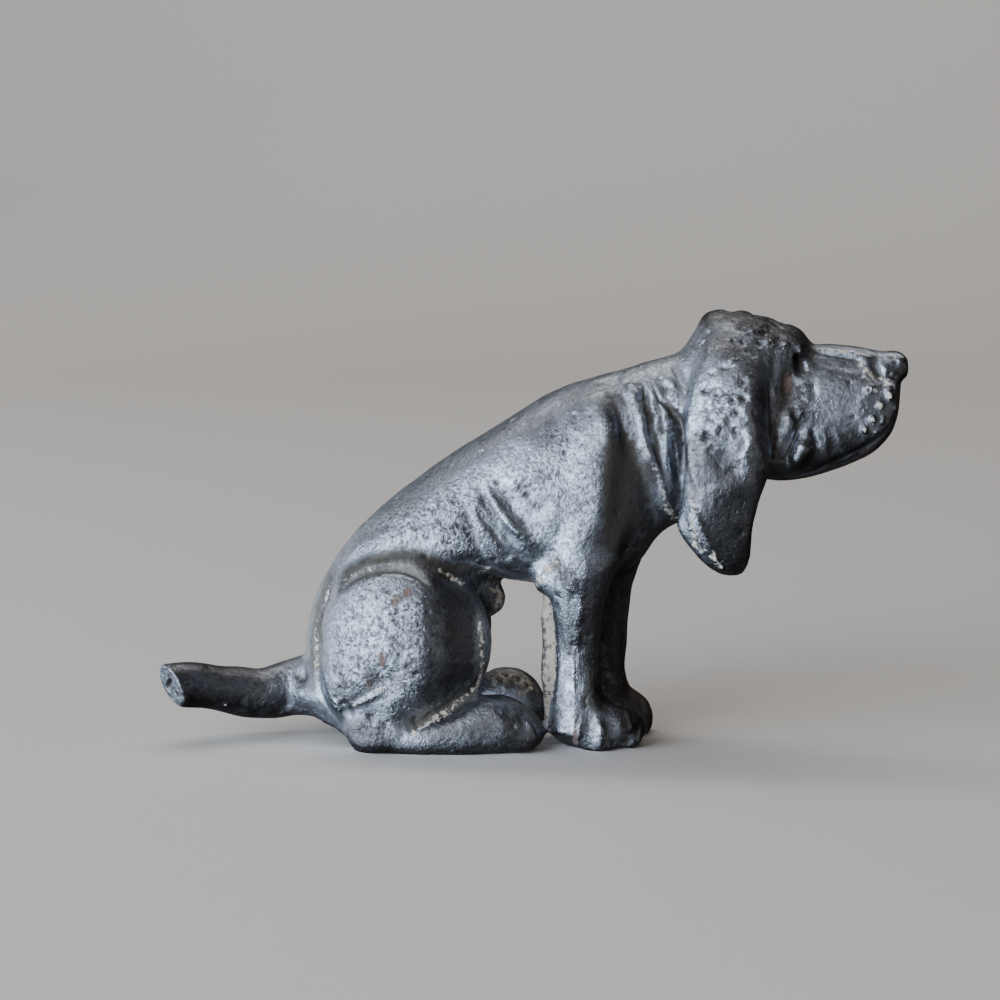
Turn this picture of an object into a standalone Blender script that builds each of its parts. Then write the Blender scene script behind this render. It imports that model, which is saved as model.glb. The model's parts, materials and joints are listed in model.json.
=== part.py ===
"""A small cast pewter hound.

It sits on its haunches with its head stretched forward, its long ears hanging and its tail broken
off short. It is one solid casting that stands on its soles.

Points and radii are written in the figure's own millimetres, as (x, y, z) with the nose towards +X,
the dog's right side towards -Y and the table at z = 0. MM turns them into metres, so that LENGTH
alone sets the size of the whole figure.
"""

import math

import bmesh
import bpy
import numpy as np
from mathutils import Matrix, Vector
from mathutils.bvhtree import BVHTree

# Driving dimension, in metres
LENGTH = 0.080  # from the nose to the broken end of the tail

# The figure is drawn this many units long
DRAWN_LENGTH = 78.97
MM = LENGTH / DRAWN_LENGTH

# Fineness of the modelled surface, in the figure's millimetres
BODY_GRAIN = 0.50
LIMB_GRAIN = 0.40
DETAIL_GRAIN = 0.30
RING_POINTS = 40
RINGS_BETWEEN = 6
TRIANGLES = 9600

# Pose
FAR_FORELEG_LEAD = 2.5  # the left foreleg stands this much further forward
FAR_PAW_REACH = -1.8  # and its paw reaches out this much further again
FAR_PAW_LIFT = 0.4  # and is this much higher
FAR_HAUNCH_LAG = 1.2  # the left haunch sits this much further back
FAR_HIND_LAG = 0.4  # the left hind foot lies this much further back
FAR_HIND_ARCH = 0.25  # and its instep is this much higher

# Carving. A crease is (height, half width, its points as (x, z) on the dog's flank): a height below
# nought cuts a groove and one above it raises a fold.
HAUNCH_CREASES = [
    (-0.55, 0.75, [(-20.6, 18.0), (-21.8, 14.8), (-22.0, 11.3), (-21.7, 7.2), (-20.3, 4.5)]),
    (-0.50, 0.90, [(-20.6, 18.4), (-17.6, 20.9), (-13.2, 21.9), (-9.4, 21.2), (-6.8, 18.6)]),
    (0.30, 0.90, [(-20.0, 17.4), (-17.2, 19.5), (-13.1, 20.3), (-10.0, 19.5), (-7.8, 17.0)]),
    (-0.22, 0.80, [(-19.0, 16.0), (-15.8, 18.1), (-12.9, 18.6), (-10.4, 17.9)]),
    (-0.50, 0.70, [(-18.8, 4.0), (-16.9, 5.9), (-14.9, 7.2), (-12.8, 8.3)]),
    (-0.60, 0.80, [(-12.3, 2.6), (-10.4, 3.7), (-7.8, 4.9), (-6.0, 6.2), (-4.6, 8.0)]),
]
RIBS = [
    (-0.50, 0.95, [(-7.1, 28.4), (-6.4, 25.2), (-4.7, 22.2), (-2.3, 20.0), (0.3, 18.8)]),
    (-0.38, 0.75, [(-5.6, 28.8), (-4.3, 25.8), (-2.7, 23.4), (-0.4, 21.4)]),
    (-0.40, 0.85, [(-3.8, 29.5), (-2.2, 27.0), (-0.3, 24.6), (2.0, 22.6)]),
    (-0.30, 0.80, [(-0.8, 29.2), (0.7, 26.7), (2.6, 24.6)]),
    (0.30, 0.80, [(-6.2, 28.0), (-5.2, 25.3), (-3.6, 22.8), (-1.4, 20.8)]),
    (0.25, 0.70, [(-4.6, 28.8), (-3.2, 26.3), (-1.4, 23.8), (0.8, 21.8)]),
]
NECK_FOLDS = [
    (-0.70, 1.20, [(7.7, 38.8), (9.4, 35.8), (10.1, 32.5), (9.9, 28.9), (9.3, 25.0), (8.4, 21.6)]),
    (-0.45, 0.60, [(8.6, 39.6), (9.9, 37.5), (11.0, 35.0), (11.6, 31.8)]),
    (-0.50, 0.60, [(10.7, 40.0), (12.4, 37.0), (13.3, 34.0), (13.8, 30.0), (14.3, 27.0)]),
    (-0.45, 0.60, [(12.8, 40.4), (14.4, 37.6), (15.1, 34.5), (15.4, 31.0), (15.6, 27.4)]),
    (-0.30, 0.60, [(15.0, 41.2), (16.2, 39.3), (16.8, 37.0)]),
    (0.45, 0.90, [(9.8, 40.0), (11.4, 37.0), (12.3, 33.6), (12.7, 30.0), (13.3, 26.2)]),
    (0.35, 0.70, [(11.8, 40.4), (13.4, 37.2), (14.3, 33.6), (14.6, 30.0)]),
    (-0.50, 1.10, [(10.9, 32.9), (12.3, 28.8), (13.1, 25.5), (13.4, 23.6)]),
]
EAR_CREASES = [
    (-0.45, 0.60, [(16.8, 39.6), (16.0, 37.1), (15.8, 34.0), (15.9, 30.3), (15.8, 27.0), (15.4, 24.0)]),
    (-0.60, 0.80, [(25.4, 42.0), (25.4, 39.2), (25.6, 35.1), (25.5, 31.5)]),
    (-0.30, 2.00, [(20.6, 31.0), (21.2, 28.0), (21.6, 24.6)]),
    (0.45, 0.90, [(17.0, 28.4), (18.0, 24.6), (19.6, 21.6), (20.8, 20.0)]),
]
FACE_CREASES = [
    (-0.60, 1.00, [(26.6, 41.6), (27.2, 39.3), (26.7, 36.1), (26.2, 33.0), (26.0, 30.3)]),
    (-0.50, 0.60, [(29.0, 35.4), (27.9, 33.5), (27.1, 31.7), (26.7, 29.5)]),
    (0.50, 0.90, [(29.3, 32.6), (28.4, 31.0), (28.0, 29.6)]),
    (-0.35, 0.45, [(29.5, 34.4), (30.1, 32.4), (30.7, 30.5)]),
    (-0.30, 0.50, [(31.3, 34.0), (32.1, 32.1), (32.8, 30.6)]),
    (-0.20, 0.50, [(33.7, 34.0), (34.7, 32.2)]),
    (-0.55, 0.80, [(27.6, 41.0), (28.3, 40.6), (29.0, 40.0)]),
    (0.30, 0.70, [(26.1, 43.6), (27.6, 43.0), (28.8, 41.8)]),
    (-0.35, 0.60, [(29.6, 41.3), (32.4, 40.8), (35.0, 40.4)]),
    (-0.45, 0.50, [(35.9, 41.4), (36.0, 40.2), (36.8, 38.6)]),
]
FORE_TOE_GAPS = [
    (-0.45, 0.45, [(5.8, 4.6), (6.5, 2.9), (6.8, 0.7)]),
    (-0.45, 0.45, [(8.2, 5.1), (8.9, 3.2), (9.0, 0.7)]),
]
HIND_TOE_GAPS = [
    (-0.45, 0.45, [(-1.9, 5.4), (-1.1, 3.7), (-0.9, 1.2)]),
    (-0.35, 0.40, [(-0.4, 4.7), (0.3, 3.4), (0.4, 1.2)]),
]
CREASE_STEP = 0.25  # between the points at which a crease is laid on the skin
CREASE_TAPER = 3.0  # how steeply a crease fades out at its ends

# The flat face at the broken end of the tail
BREAK_START = -33.0  # only the tail lies behind this
BREAK_PLACE = (-37.7, -7.7, 6.4)
BREAK_FACING = (-0.70, -0.61, -0.37)


def clear_scene():
    for obj in list(bpy.data.objects):
        bpy.data.objects.remove(obj)


def new_collection(name):
    group = bpy.data.collections.new(name)
    bpy.context.scene.collection.children.link(group)
    return group


def object_from(bm, name):
    """A new object with the mesh that bm holds, in no collection yet."""
    mesh = bpy.data.meshes.new(name)
    bm.to_mesh(mesh)
    bm.free()
    return bpy.data.objects.new(name, mesh)


def ellipsoid(centre, radii, lean=0.0, turn=0.0):
    """A ball stretched to its radii, leant in degrees about Y and then turned about Z."""
    bm = bmesh.new()
    place = (
        Matrix.Translation(Vector(centre))
        @ Matrix.Rotation(math.radians(turn), 4, "Z")
        @ Matrix.Rotation(math.radians(lean), 4, "Y")
        @ Matrix.Diagonal((*radii, 1.0))
    )
    bmesh.ops.create_uvsphere(bm, u_segments=32, v_segments=20, radius=1.0, matrix=place)
    return object_from(bm, "mass")


def eased_run(rows, steps_between):
    """The rows of numbers with more eased in between each two, on a Catmull-Rom curve."""
    knots = np.array(rows, float)
    padded = np.vstack([2 * knots[0] - knots[1], knots, 2 * knots[-1] - knots[-2]])
    run = []
    for a, b, c, d in zip(padded, padded[1:], padded[2:], padded[3:]):
        steps = steps_between(b, c)
        for t in np.arange(steps) / steps:
            run.append(
                0.5 * (2 * b + (c - a) * t + (2 * a - 5 * b + 4 * c - d) * t**2
                       + (3 * b - a - 3 * c + d) * t**3)
            )
    run.append(knots[-1])
    return run


def station(p, q, half, egg=0.0, bow=0.0):
    """One section of a loft: it spans from p to q and is half thick to either side of that line.

    egg widens it towards p, or towards q when negative. bow bends it out sideways.
    """
    return p, q, half, egg, bow


def loft(stations, power=2.2):
    """A closed body through the stations, whose sections are ellipses, or boxier for a higher power."""
    rows = [[*p, *q, half, egg, bow] for p, q, half, egg, bow in stations]
    run = eased_run(rows, lambda start, end: RINGS_BETWEEN)
    centres = np.array([(row[0:3] + row[3:6]) / 2 for row in run])
    along = np.gradient(centres, axis=0)
    bm = bmesh.new()
    rings = []
    for row, centre, forward in zip(run, centres, along):
        reach = (row[0:3] - row[3:6]) / 2
        side = np.cross(reach, forward)
        side /= np.linalg.norm(side)
        half, egg, bow = row[6:9]
        ring = []
        for n in range(RING_POINTS):
            angle = 2 * math.pi * n / RING_POINTS
            c, s = math.cos(angle), math.sin(angle)
            along_reach = math.copysign(abs(c) ** (2 / power), c)
            sideways = math.copysign(abs(s) ** (2 / power), s)
            out = sideways * half * (1 + egg * along_reach) + bow * (1 - along_reach**2)
            ring.append(bm.verts.new(centre + along_reach * reach + out * side))
        rings.append(ring)
    for low, high in zip(rings, rings[1:]):
        for n in range(RING_POINTS):
            m = (n + 1) % RING_POINTS
            bm.faces.new((low[n], low[m], high[m], high[n]))
    bm.faces.new(rings[0])
    bm.faces.new(rings[-1])
    bmesh.ops.recalc_face_normals(bm, faces=bm.faces)
    return object_from(bm, "mass")


def mirrored(obj, shift=0.0):
    """A copy of obj for the dog's other side, moved forward by shift."""
    bm = bmesh.new()
    bm.from_mesh(obj.data)
    bmesh.ops.scale(bm, vec=(1, -1, 1), verts=bm.verts)
    bmesh.ops.translate(bm, vec=(shift, 0, 0), verts=bm.verts)
    bmesh.ops.reverse_faces(bm, faces=bm.faces)
    return object_from(bm, "mass")


def both_sides(masses):
    return masses + [mirrored(mass) for mass in masses]


def apply_modifiers(obj):
    """obj's mesh becomes what its modifiers make of it."""
    graph = bpy.context.evaluated_depsgraph_get()
    made = bpy.data.meshes.new_from_object(obj.evaluated_get(graph))
    obj.modifiers.clear()
    old, obj.data = obj.data, made
    bpy.data.meshes.remove(old)


def fuse(masses, group, grain, rounds):
    """The masses melted into one skin by a voxel remesh, with its joins eased by smoothing."""
    bm = bmesh.new()
    for mass in masses:
        bm.from_mesh(mass.data)
        bpy.data.objects.remove(mass)
    whole = object_from(bm, "clay")
    group.objects.link(whole)
    remesh = whole.modifiers.new("melt", "REMESH")
    remesh.mode = "VOXEL"
    remesh.voxel_size = grain
    ease = whole.modifiers.new("ease", "SMOOTH")
    ease.factor = 0.5
    ease.iterations = rounds
    apply_modifiers(whole)
    return whole


def torso():
    """Rump, back, barrel and neck as one loft, from the seat to inside the skull."""
    return loft([
        station((-23.9, 0, 6.0), (-18.0, 0, 0.9), 5.5),
        station((-24.5, 0, 9.0), (-14.0, 0, 1.5), 7.5),
        station((-23.9, 0, 13.0), (-10.5, 0, 4.5), 9.0),
        station((-22.3, 0, 17.6), (-8.0, 0, 10.0), 9.3),
        station((-18.5, 0, 22.9), (-6.0, 0, 15.5), 8.8),
        station((-14.0, 0, 26.8), (-4.6, 0, 18.2), 8.1),
        station((-9.0, 0, 30.6), (-2.6, 0, 17.2), 7.9),
        station((-3.4, 0, 34.1), (1.5, 0, 16.9), 8.3),
        station((1.5, 0, 37.1), (6.5, 0, 16.8), 8.4),
        station((6.0, 0, 39.0), (11.2, 0, 19.1), 7.8),
        station((9.8, 0, 39.9), (14.0, 0, 22.7), 7.0),
        station((13.2, 0, 41.0), (17.0, 0, 24.0), 6.2),
        station((16.2, 0, 42.0), (20.4, 0, 26.4), 5.9),
        station((19.2, 0, 44.0), (24.0, 0, 29.5), 5.0),
    ])


def haunch():
    return ellipsoid((-12.8, -6.4, 11.3), (9.2, 5.8, 9.5))


def shoulder():
    return ellipsoid((6.7, -3.4, 27.6), (6.3, 5.3, 10.8), lean=8)


def skull():
    return [
        ellipsoid((22.2, 0, 38.6), (7.1, 6.2, 7.4)),
        ellipsoid((19.8, 0, 44.2), (2.5, 2.8, 2.2)),
        ellipsoid((26.0, 0, 41.7), (3.6, 4.4, 3.4)),
    ]


def cheek():
    return ellipsoid((24.6, -3.4, 34.2), (4.2, 3.0, 5.8))


def brow():
    return ellipsoid((27.3, -3.3, 41.2), (2.0, 1.5, 1.7), turn=-25)


def muzzle():
    """The deep square foreface, whose flews hang well below the mouth."""
    return loft([
        station((22.5, 0, 42.3), (22.5, 0, 28.6), 4.6, -0.2),
        station((27.0, 0, 42.6), (26.2, 0, 28.2), 5.0, -0.2),
        station((30.0, 0, 42.6), (29.3, 0, 28.5), 4.8, -0.25),
        station((33.0, 0, 42.5), (32.7, 0, 29.7), 4.5, -0.25),
        station((36.0, 0, 42.0), (35.8, 0, 31.1), 4.1, -0.25),
        station((38.0, 0, 41.4), (37.9, 0, 33.3), 3.4, -0.2),
        station((38.9, 0, 40.4), (38.6, 0, 35.6), 2.3, -0.1),
    ], power=2.6)


def nose():
    """The blunt block at the tip of the muzzle."""
    return loft([
        station((36.2, 0, 41.7), (36.2, 0, 38.7), 1.9),
        station((37.4, 0, 41.9), (37.4, 0, 38.6), 2.3),
        station((38.7, 0, 41.8), (38.7, 0, 38.8), 2.3),
        station((39.5, 0, 41.1), (39.5, 0, 39.2), 1.9),
    ], power=3.0)


def ear():
    return loft([
        station((18.6, -2.3, 43.0), (24.0, -2.5, 42.8), 1.4, 0, 0.3),
        station((17.2, -4.6, 40.3), (24.9, -4.5, 40.3), 1.6, 0, 0.7),
        station((16.2, -6.5, 35.8), (25.2, -6.1, 35.8), 1.5, 0, 1.1),
        station((16.2, -7.4, 31.0), (25.5, -6.9, 31.2), 1.5, 0, 1.1),
        station((16.0, -7.4, 26.8), (24.45, -7.3, 27.0), 1.4, 0, 0.9),
        station((15.4, -7.0, 24.0), (23.6, -7.2, 23.9), 1.3, 0, 0.6),
        station((17.1, -6.6, 21.4), (23.4, -6.8, 21.3), 1.2, 0, 0.4),
        station((19.0, -6.2, 19.6), (23.1, -6.4, 19.6), 0.9, 0, 0.2),
        station((20.5, -6.1, 18.7), (22.5, -6.2, 18.7), 0.4),
    ])


def foreleg(reach=0.0, lift=0.0):
    """The right foreleg; reach sets its paw that much further forward, and lift makes it higher."""
    return [
        loft([
            station((1.8, -5.3, 24.5), (11.2, -5.0, 24.0), 3.4),
            station((1.9, -5.5, 19.5), (9.4, -5.2, 19.5), 3.2),
            station((2.4, -4.8, 15.2), (8.1, -4.6, 15.5), 2.9),
            station((2.8, -4.1, 11.2), (7.7, -4.0, 11.4), 2.6),
            station((2.7, -3.9, 7.5), (7.5, -3.9, 7.5), 2.5),
            station((2.3, -4.0, 4.5), (8.4 + reach / 2 + lift, -4.0, 4.5), 2.8),
            station((1.9, -4.2, 1.4), (10.2 + reach, -4.2, 1.4), 3.0),
        ], power=2.4),
        ellipsoid((2.5, -5.6, 18.8), (2.0, 2.0, 2.6), lean=15),
        ellipsoid((7.2 + reach, -4.2, 2.2 + lift), (4.9, 3.0, 2.6)),
        ellipsoid((7.7 + reach, -6.0, 1.4), (2.6, 1.4, 1.9)),
        ellipsoid((10.1 + reach, -4.8, 1.7), (2.3, 1.25, 2.1 + lift)),
        ellipsoid((10.3 + reach, -2.7, 1.7), (2.2, 1.2, 2.1 + lift)),
    ]


def leg_web():
    """The thin wall of metal left between the forelegs."""
    return loft([
        station((1.0, 0, 20.0), (8.0, 0, 20.0), 2.0),
        station((1.2, 0, 16.0), (7.8, 0, 16.0), 1.8),
        station((1.7, 0, 11.0), (7.0, 0, 11.0), 1.7),
        station((1.4, 0, 6.0), (7.0, 0, 6.0), 1.7),
        station((1.2, 0, 1.0), (7.4, 0, 1.0), 1.8),
    ], power=2.6)


def hind_leg(arch=0.0):
    """The lower thigh, the hock and the long foot along the table; arch raises its instep."""
    return [
        ellipsoid((-16.4, -7.2, 8.4), (5.6, 4.4, 6.4)),
        ellipsoid((-13.4, -7.7, 6.8), (2.8, 3.7, 5.2), lean=48),
        ellipsoid((-14.9, -8.5, 5.6), (2.7, 2.6, 4.6), lean=-38),
        ellipsoid((-16.7, -8.1, 2.8), (2.6, 2.7, 2.9)),
        loft([
            station((-18.6, -8.0, 3.0), (-18.6, -8.0, 0.6), 1.4),
            station((-17.0, -8.1, 4.4), (-17.0, -8.1, -0.4), 2.6),
            station((-13.0, -8.2, 3.6), (-13.0, -8.2, -0.4), 2.8),
            station((-9.0, -8.1, 4.3 + arch), (-9.0, -8.1, -0.4), 2.8),
            station((-5.0, -7.8, 5.8 + arch), (-5.0, -7.8, -0.4), 2.8),
            station((-2.2, -7.3, 6.0 + arch), (-2.2, -7.3, -0.3), 2.9),
            station((0.0, -6.9, 4.8 + arch), (0.0, -6.9, -0.1), 2.8),
            station((1.2, -6.7, 3.2), (1.2, -6.7, 0.8), 1.9),
        ]),
        ellipsoid((-0.5, -8.2, 1.9), (2.2, 1.3, 2.0)),
        ellipsoid((0.1, -6.5, 2.0), (1.9, 1.2, 2.2)),
    ]


def tail():
    return loft([
        station((-21.5, 0.0, 9.1), (-21.0, 0.0, 1.7), 3.3),
        station((-25.3, -0.2, 8.5), (-25.3, -0.2, 2.0), 3.0),
        station((-29.0, -1.2, 7.4), (-29.0, -1.2, 1.8), 2.7),
        station((-32.4, -2.8, 7.8), (-31.8, -2.8, 2.3), 2.5),
        station((-35.8, -4.9, 8.5), (-34.4, -4.9, 3.4), 2.35),
        station((-38.4, -7.9, 8.8), (-37.4, -7.4, 4.1), 2.25),
        station((-41.4, -10.4, 9.0), (-40.0, -9.9, 4.4), 2.25),
    ])


def break_off_tail(body):
    """Cuts the tail off where it is broken, which leaves a flat face."""
    bm = bmesh.new()
    bm.from_mesh(body.data)
    verts = [v for v in bm.verts if v.co.x < BREAK_START]
    faces = [f for f in bm.faces if all(v.co.x < BREAK_START for v in f.verts)]
    edges = {e for f in faces for e in f.edges}
    cut = bmesh.ops.bisect_plane(
        bm, geom=verts + list(edges) + faces, plane_co=BREAK_PLACE, plane_no=BREAK_FACING,
        clear_outer=True,
    )
    rim = [e for e in cut["geom_cut"] if isinstance(e, bmesh.types.BMEdge)]
    bmesh.ops.holes_fill(bm, edges=rim, sides=0)
    bm.to_mesh(body.data)
    bm.free()


def sheath():
    return [
        ellipsoid((-4.2, 0, 15.1), (1.5, 1.7, 1.9), lean=12),
        ellipsoid((-5.6, 0, 17.0), (2.0, 2.0, 1.8)),
    ]


def seat():
    """What hangs below the rump on the right, from the tail to the heel, and ends in a thin edge."""
    return loft([
        station((-26.5, -0.8, 5.5), (-26.3, -1.2, 2.3), 1.2, 0.5),
        station((-24.0, -2.2, 6.0), (-23.6, -2.8, 2.3), 1.8, 0.7),
        station((-22.0, -3.6, 6.5), (-21.5, -4.8, 1.8), 1.9, 0.7),
        station((-20.2, -5.2, 6.5), (-19.9, -6.2, 1.3), 1.6, 0.7),
        station((-18.6, -6.9, 5.0), (-18.3, -7.4, 0.2), 1.0, 0.4),
    ])


def curve_through(points):
    """Close-set points on a smooth curve through the given ones."""
    return eased_run(points, lambda start, end: max(1, round(math.dist(start, end) / CREASE_STEP)))


def lay_on_skin(tree, points, side, shift):
    """The curve through the points, dropped from one side on to the skin."""
    laid = []
    for x, z in curve_through(points):
        place = tree.ray_cast(Vector((x + shift, side * DRAWN_LENGTH, z)), Vector((0, -side, 0)))[0]
        if place is not None:
            laid.append(place)
    return np.array(laid)


def per_vertex(mesh, attribute):
    values = np.empty(len(mesh.vertices) * 3)
    mesh.vertices.foreach_get(attribute, values)
    return values.reshape(-1, 3)


def carve(body, creases, side, shift=0.0):
    """Moves the skin of one side in or out along the creases: side is -1 for the dog's right."""
    mesh = body.data
    tree = BVHTree.FromPolygons([v.co for v in mesh.vertices], [p.vertices for p in mesh.polygons])
    places = per_vertex(mesh, "co")
    normals = per_vertex(mesh, "normal")
    push = np.zeros(len(places))
    for height, width, points in creases:
        laid = lay_on_skin(tree, points, side, shift)
        reach = 3 * width
        inside = np.all((places > laid.min(axis=0) - reach) & (places < laid.max(axis=0) + reach), axis=1)
        near = np.flatnonzero(inside)
        gaps = np.linalg.norm(places[near, None] - laid[None], axis=2)
        along = gaps.argmin(axis=1) / (len(laid) - 1)
        fade = np.clip(CREASE_TAPER * np.minimum(along, 1 - along) + 0.15, 0, 1)
        push[near] += height * fade * np.exp(-((gaps.min(axis=1) / width) ** 2))
    mesh.vertices.foreach_set("co", (places + normals * push[:, None]).ravel())
    mesh.update()


def thin_out(body):
    """Fewer triangles, with most of them left where the form turns."""
    ease = body.modifiers.new("ease", "SMOOTH")
    ease.factor = 0.5
    ease.iterations = 2
    triangulate = body.modifiers.new("triangulate", "TRIANGULATE")
    triangulate.quad_method = "FIXED"
    apply_modifiers(body)
    fewer = body.modifiers.new("fewer", "DECIMATE")
    fewer.ratio = TRIANGLES / len(body.data.polygons)
    apply_modifiers(body)


def flatten_soles(body):
    """Cuts off level with the table what the feet reach below it."""
    bm = bmesh.new()
    bm.from_mesh(body.data)
    everything = bm.verts[:] + bm.edges[:] + bm.faces[:]
    cut = bmesh.ops.bisect_plane(
        bm, geom=everything, plane_co=(0, 0, 0), plane_no=(0, 0, 1), clear_inner=True
    )
    rim = [e for e in cut["geom_cut"] if isinstance(e, bmesh.types.BMEdge)]
    bmesh.ops.holes_fill(bm, edges=rim, sides=0)
    bm.to_mesh(body.data)
    bm.free()


def to_size(body):
    """Stands the figure on z = 0, centred, and brings it to its real size."""
    mesh = body.data
    places = per_vertex(mesh, "co")
    low = places.min(axis=0)
    high = places.max(axis=0)
    middle = np.array([(low[0] + high[0]) / 2, (low[1] + high[1]) / 2, low[2]])
    mesh.vertices.foreach_set("co", ((places - middle) * MM).ravel())
    mesh.update()


def pewter():
    material = bpy.data.materials.new("pewter")
    material.use_nodes = True
    shader = material.node_tree.nodes["Principled BSDF"]
    shader.inputs["Base Color"].default_value = (0.23, 0.25, 0.28, 1)
    shader.inputs["Metallic"].default_value = 1.0
    shader.inputs["Roughness"].default_value = 0.45
    return material


def model_hound():
    """The whole figure in drawn millimetres, at the fineness that it is carved at."""
    figure = new_collection("Pewter hound")
    body = fuse(
        [torso(), *skull(), mirrored(haunch(), -FAR_HAUNCH_LAG), haunch(),
         *both_sides([shoulder(), cheek(), brow()])],
        figure, BODY_GRAIN, 20,
    )
    limbs = fuse(
        [body, muzzle(), tail(), seat(), leg_web(), *sheath(), *both_sides([ear()]),
         *foreleg(),
         *[mirrored(mass, FAR_FORELEG_LEAD) for mass in foreleg(FAR_PAW_REACH, FAR_PAW_LIFT)],
         *hind_leg(), *[mirrored(mass, -FAR_HIND_LAG) for mass in hind_leg(FAR_HIND_ARCH)]],
        figure, LIMB_GRAIN, 6,
    )
    hound = fuse([limbs, nose()], figure, DETAIL_GRAIN, 2)
    break_off_tail(hound)
    creases = HAUNCH_CREASES + RIBS + NECK_FOLDS + EAR_CREASES + FACE_CREASES
    carve(hound, creases + FORE_TOE_GAPS + HIND_TOE_GAPS, -1)
    carve(hound, creases, 1)
    carve(hound, FORE_TOE_GAPS, 1, FAR_FORELEG_LEAD + FAR_PAW_REACH)
    carve(hound, HIND_TOE_GAPS, 1, -FAR_HIND_LAG)
    return hound


def build_hound():
    hound = model_hound()
    hound.name = "hound"
    hound.data.name = "hound"
    thin_out(hound)
    flatten_soles(hound)
    to_size(hound)
    hound.data.materials.append(pewter())
    return hound


if __name__ == "__main__":
    clear_scene()
    build_hound()
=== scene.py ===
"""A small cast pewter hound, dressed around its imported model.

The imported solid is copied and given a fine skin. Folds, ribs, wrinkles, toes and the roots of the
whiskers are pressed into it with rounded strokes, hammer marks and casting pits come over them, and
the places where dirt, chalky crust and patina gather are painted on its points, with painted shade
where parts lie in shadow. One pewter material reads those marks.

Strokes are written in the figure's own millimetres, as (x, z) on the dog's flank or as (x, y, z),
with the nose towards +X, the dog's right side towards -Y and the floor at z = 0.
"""

import json
import math

import bpy
import numpy as np
from bpy.props import FloatProperty, FloatVectorProperty, IntProperty, PointerProperty
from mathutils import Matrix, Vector, noise
from mathutils.bvhtree import BVHTree

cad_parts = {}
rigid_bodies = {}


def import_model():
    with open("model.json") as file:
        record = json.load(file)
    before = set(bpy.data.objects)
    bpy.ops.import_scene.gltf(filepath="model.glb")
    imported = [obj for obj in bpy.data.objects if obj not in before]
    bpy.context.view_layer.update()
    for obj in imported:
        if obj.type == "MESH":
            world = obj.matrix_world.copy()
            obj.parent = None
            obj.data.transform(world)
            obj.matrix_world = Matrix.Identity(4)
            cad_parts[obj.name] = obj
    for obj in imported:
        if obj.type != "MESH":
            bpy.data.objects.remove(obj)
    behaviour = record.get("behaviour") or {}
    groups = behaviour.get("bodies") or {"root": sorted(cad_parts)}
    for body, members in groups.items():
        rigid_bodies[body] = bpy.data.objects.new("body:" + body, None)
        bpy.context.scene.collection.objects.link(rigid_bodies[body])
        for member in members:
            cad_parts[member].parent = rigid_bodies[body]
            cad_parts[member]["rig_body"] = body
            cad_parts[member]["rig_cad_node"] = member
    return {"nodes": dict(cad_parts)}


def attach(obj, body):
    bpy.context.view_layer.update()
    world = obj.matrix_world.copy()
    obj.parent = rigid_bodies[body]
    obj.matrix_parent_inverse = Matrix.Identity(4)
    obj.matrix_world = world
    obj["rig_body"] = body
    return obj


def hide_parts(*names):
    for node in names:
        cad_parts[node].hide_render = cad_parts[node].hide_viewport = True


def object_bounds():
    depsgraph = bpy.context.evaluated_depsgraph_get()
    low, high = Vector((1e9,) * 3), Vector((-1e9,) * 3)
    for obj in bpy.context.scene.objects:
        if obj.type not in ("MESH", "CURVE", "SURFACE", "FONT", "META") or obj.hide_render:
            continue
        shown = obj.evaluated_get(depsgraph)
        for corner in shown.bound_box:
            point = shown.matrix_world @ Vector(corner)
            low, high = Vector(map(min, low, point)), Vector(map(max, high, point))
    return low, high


bl_info = {
    "name": "Pewter hound",
    "version": (1, 0, 0),
    "blender": (4, 5, 0),
    "location": "3D View > Sidebar > Hound",
    "description": "Dresses a packed model of a small cast pewter hound in its fine modelling and finish",
    "category": "Object",
}

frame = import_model()
CAD_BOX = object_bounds()

# The strokes below are drawn on a figure this many units long
DRAWN_LENGTH = 78.97
MM = (CAD_BOX[1].x - CAD_BOX[0].x) / DRAWN_LENGTH

RIGHT = -1  # the dog's right side, which the camera sees
LEFT = 1

# How the dog's left side differs from its right one, in drawn millimetres along X
FAR_PAW_SHIFT = 0.8
FAR_HIND_SHIFT = -0.4

# Paths that several of the lists below share
SPINE = [(-17.5, 0, 26.5), (-11, 0, 32), (-3, 0, 36.8), (6, 0, 39.8)]
SKULL_TOP = [(22.8, 0, 45.8), (25, 0, 45), (27.6, 0, 43.8)]
EYE_FRONT = [(29, 41.7), (29.3, 40.6), (29, 39.6)]
NOSTRIL = [(36.5, 39.2), (37.2, 38.8), (37.8, 38.4)]
THIGH_CREST = [(-18.9, 18.4), (-17.4, 19.4), (-15.3, 20.2), (-12.7, 20.6), (-10.1, 20.1), (-8.1, 18.7)]
CREST_SLOPE = [(-16.6, 18.8), (-14.4, 19.5), (-12.2, 19.5), (-10.4, 18.8)]
THIGH_TOP = [(-18.8, 16.2), (-15.8, 18.1), (-12.9, 18.6), (-10.6, 17.9)]
THIGH_FOOT = [(-18.4, 4.6), (-16.9, 5.9), (-14.9, 7.2), (-12.8, 8.3)]
RUMP_EDGE = [(-21.5, 17.5), (-22.4, 13), (-22.8, 9)]
HIND_TOE_TOPS = [(-1.2, 5.4), (0.4, 4.4), (1.4, 2.8)]
FAR_PAW = [(11.4, 3.4, 5.6), (12.4, 2.6, 4.2), (12.8, 2.8, 2)]
BELLY_LUMP = [(-3.6, 16.6), (-3.8, 14.8)]
TAIL_LENGTH = [(-36.4, 6.5), (-33, 6), (-29.8, 5.6)]
BREAK_CAVITIES = (
    [(-37.8, 7.2), (-38.1, 6.6), (-38.5, 6)],
    [(-37.4, 5.8), (-37, 5.4)],
)

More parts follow.
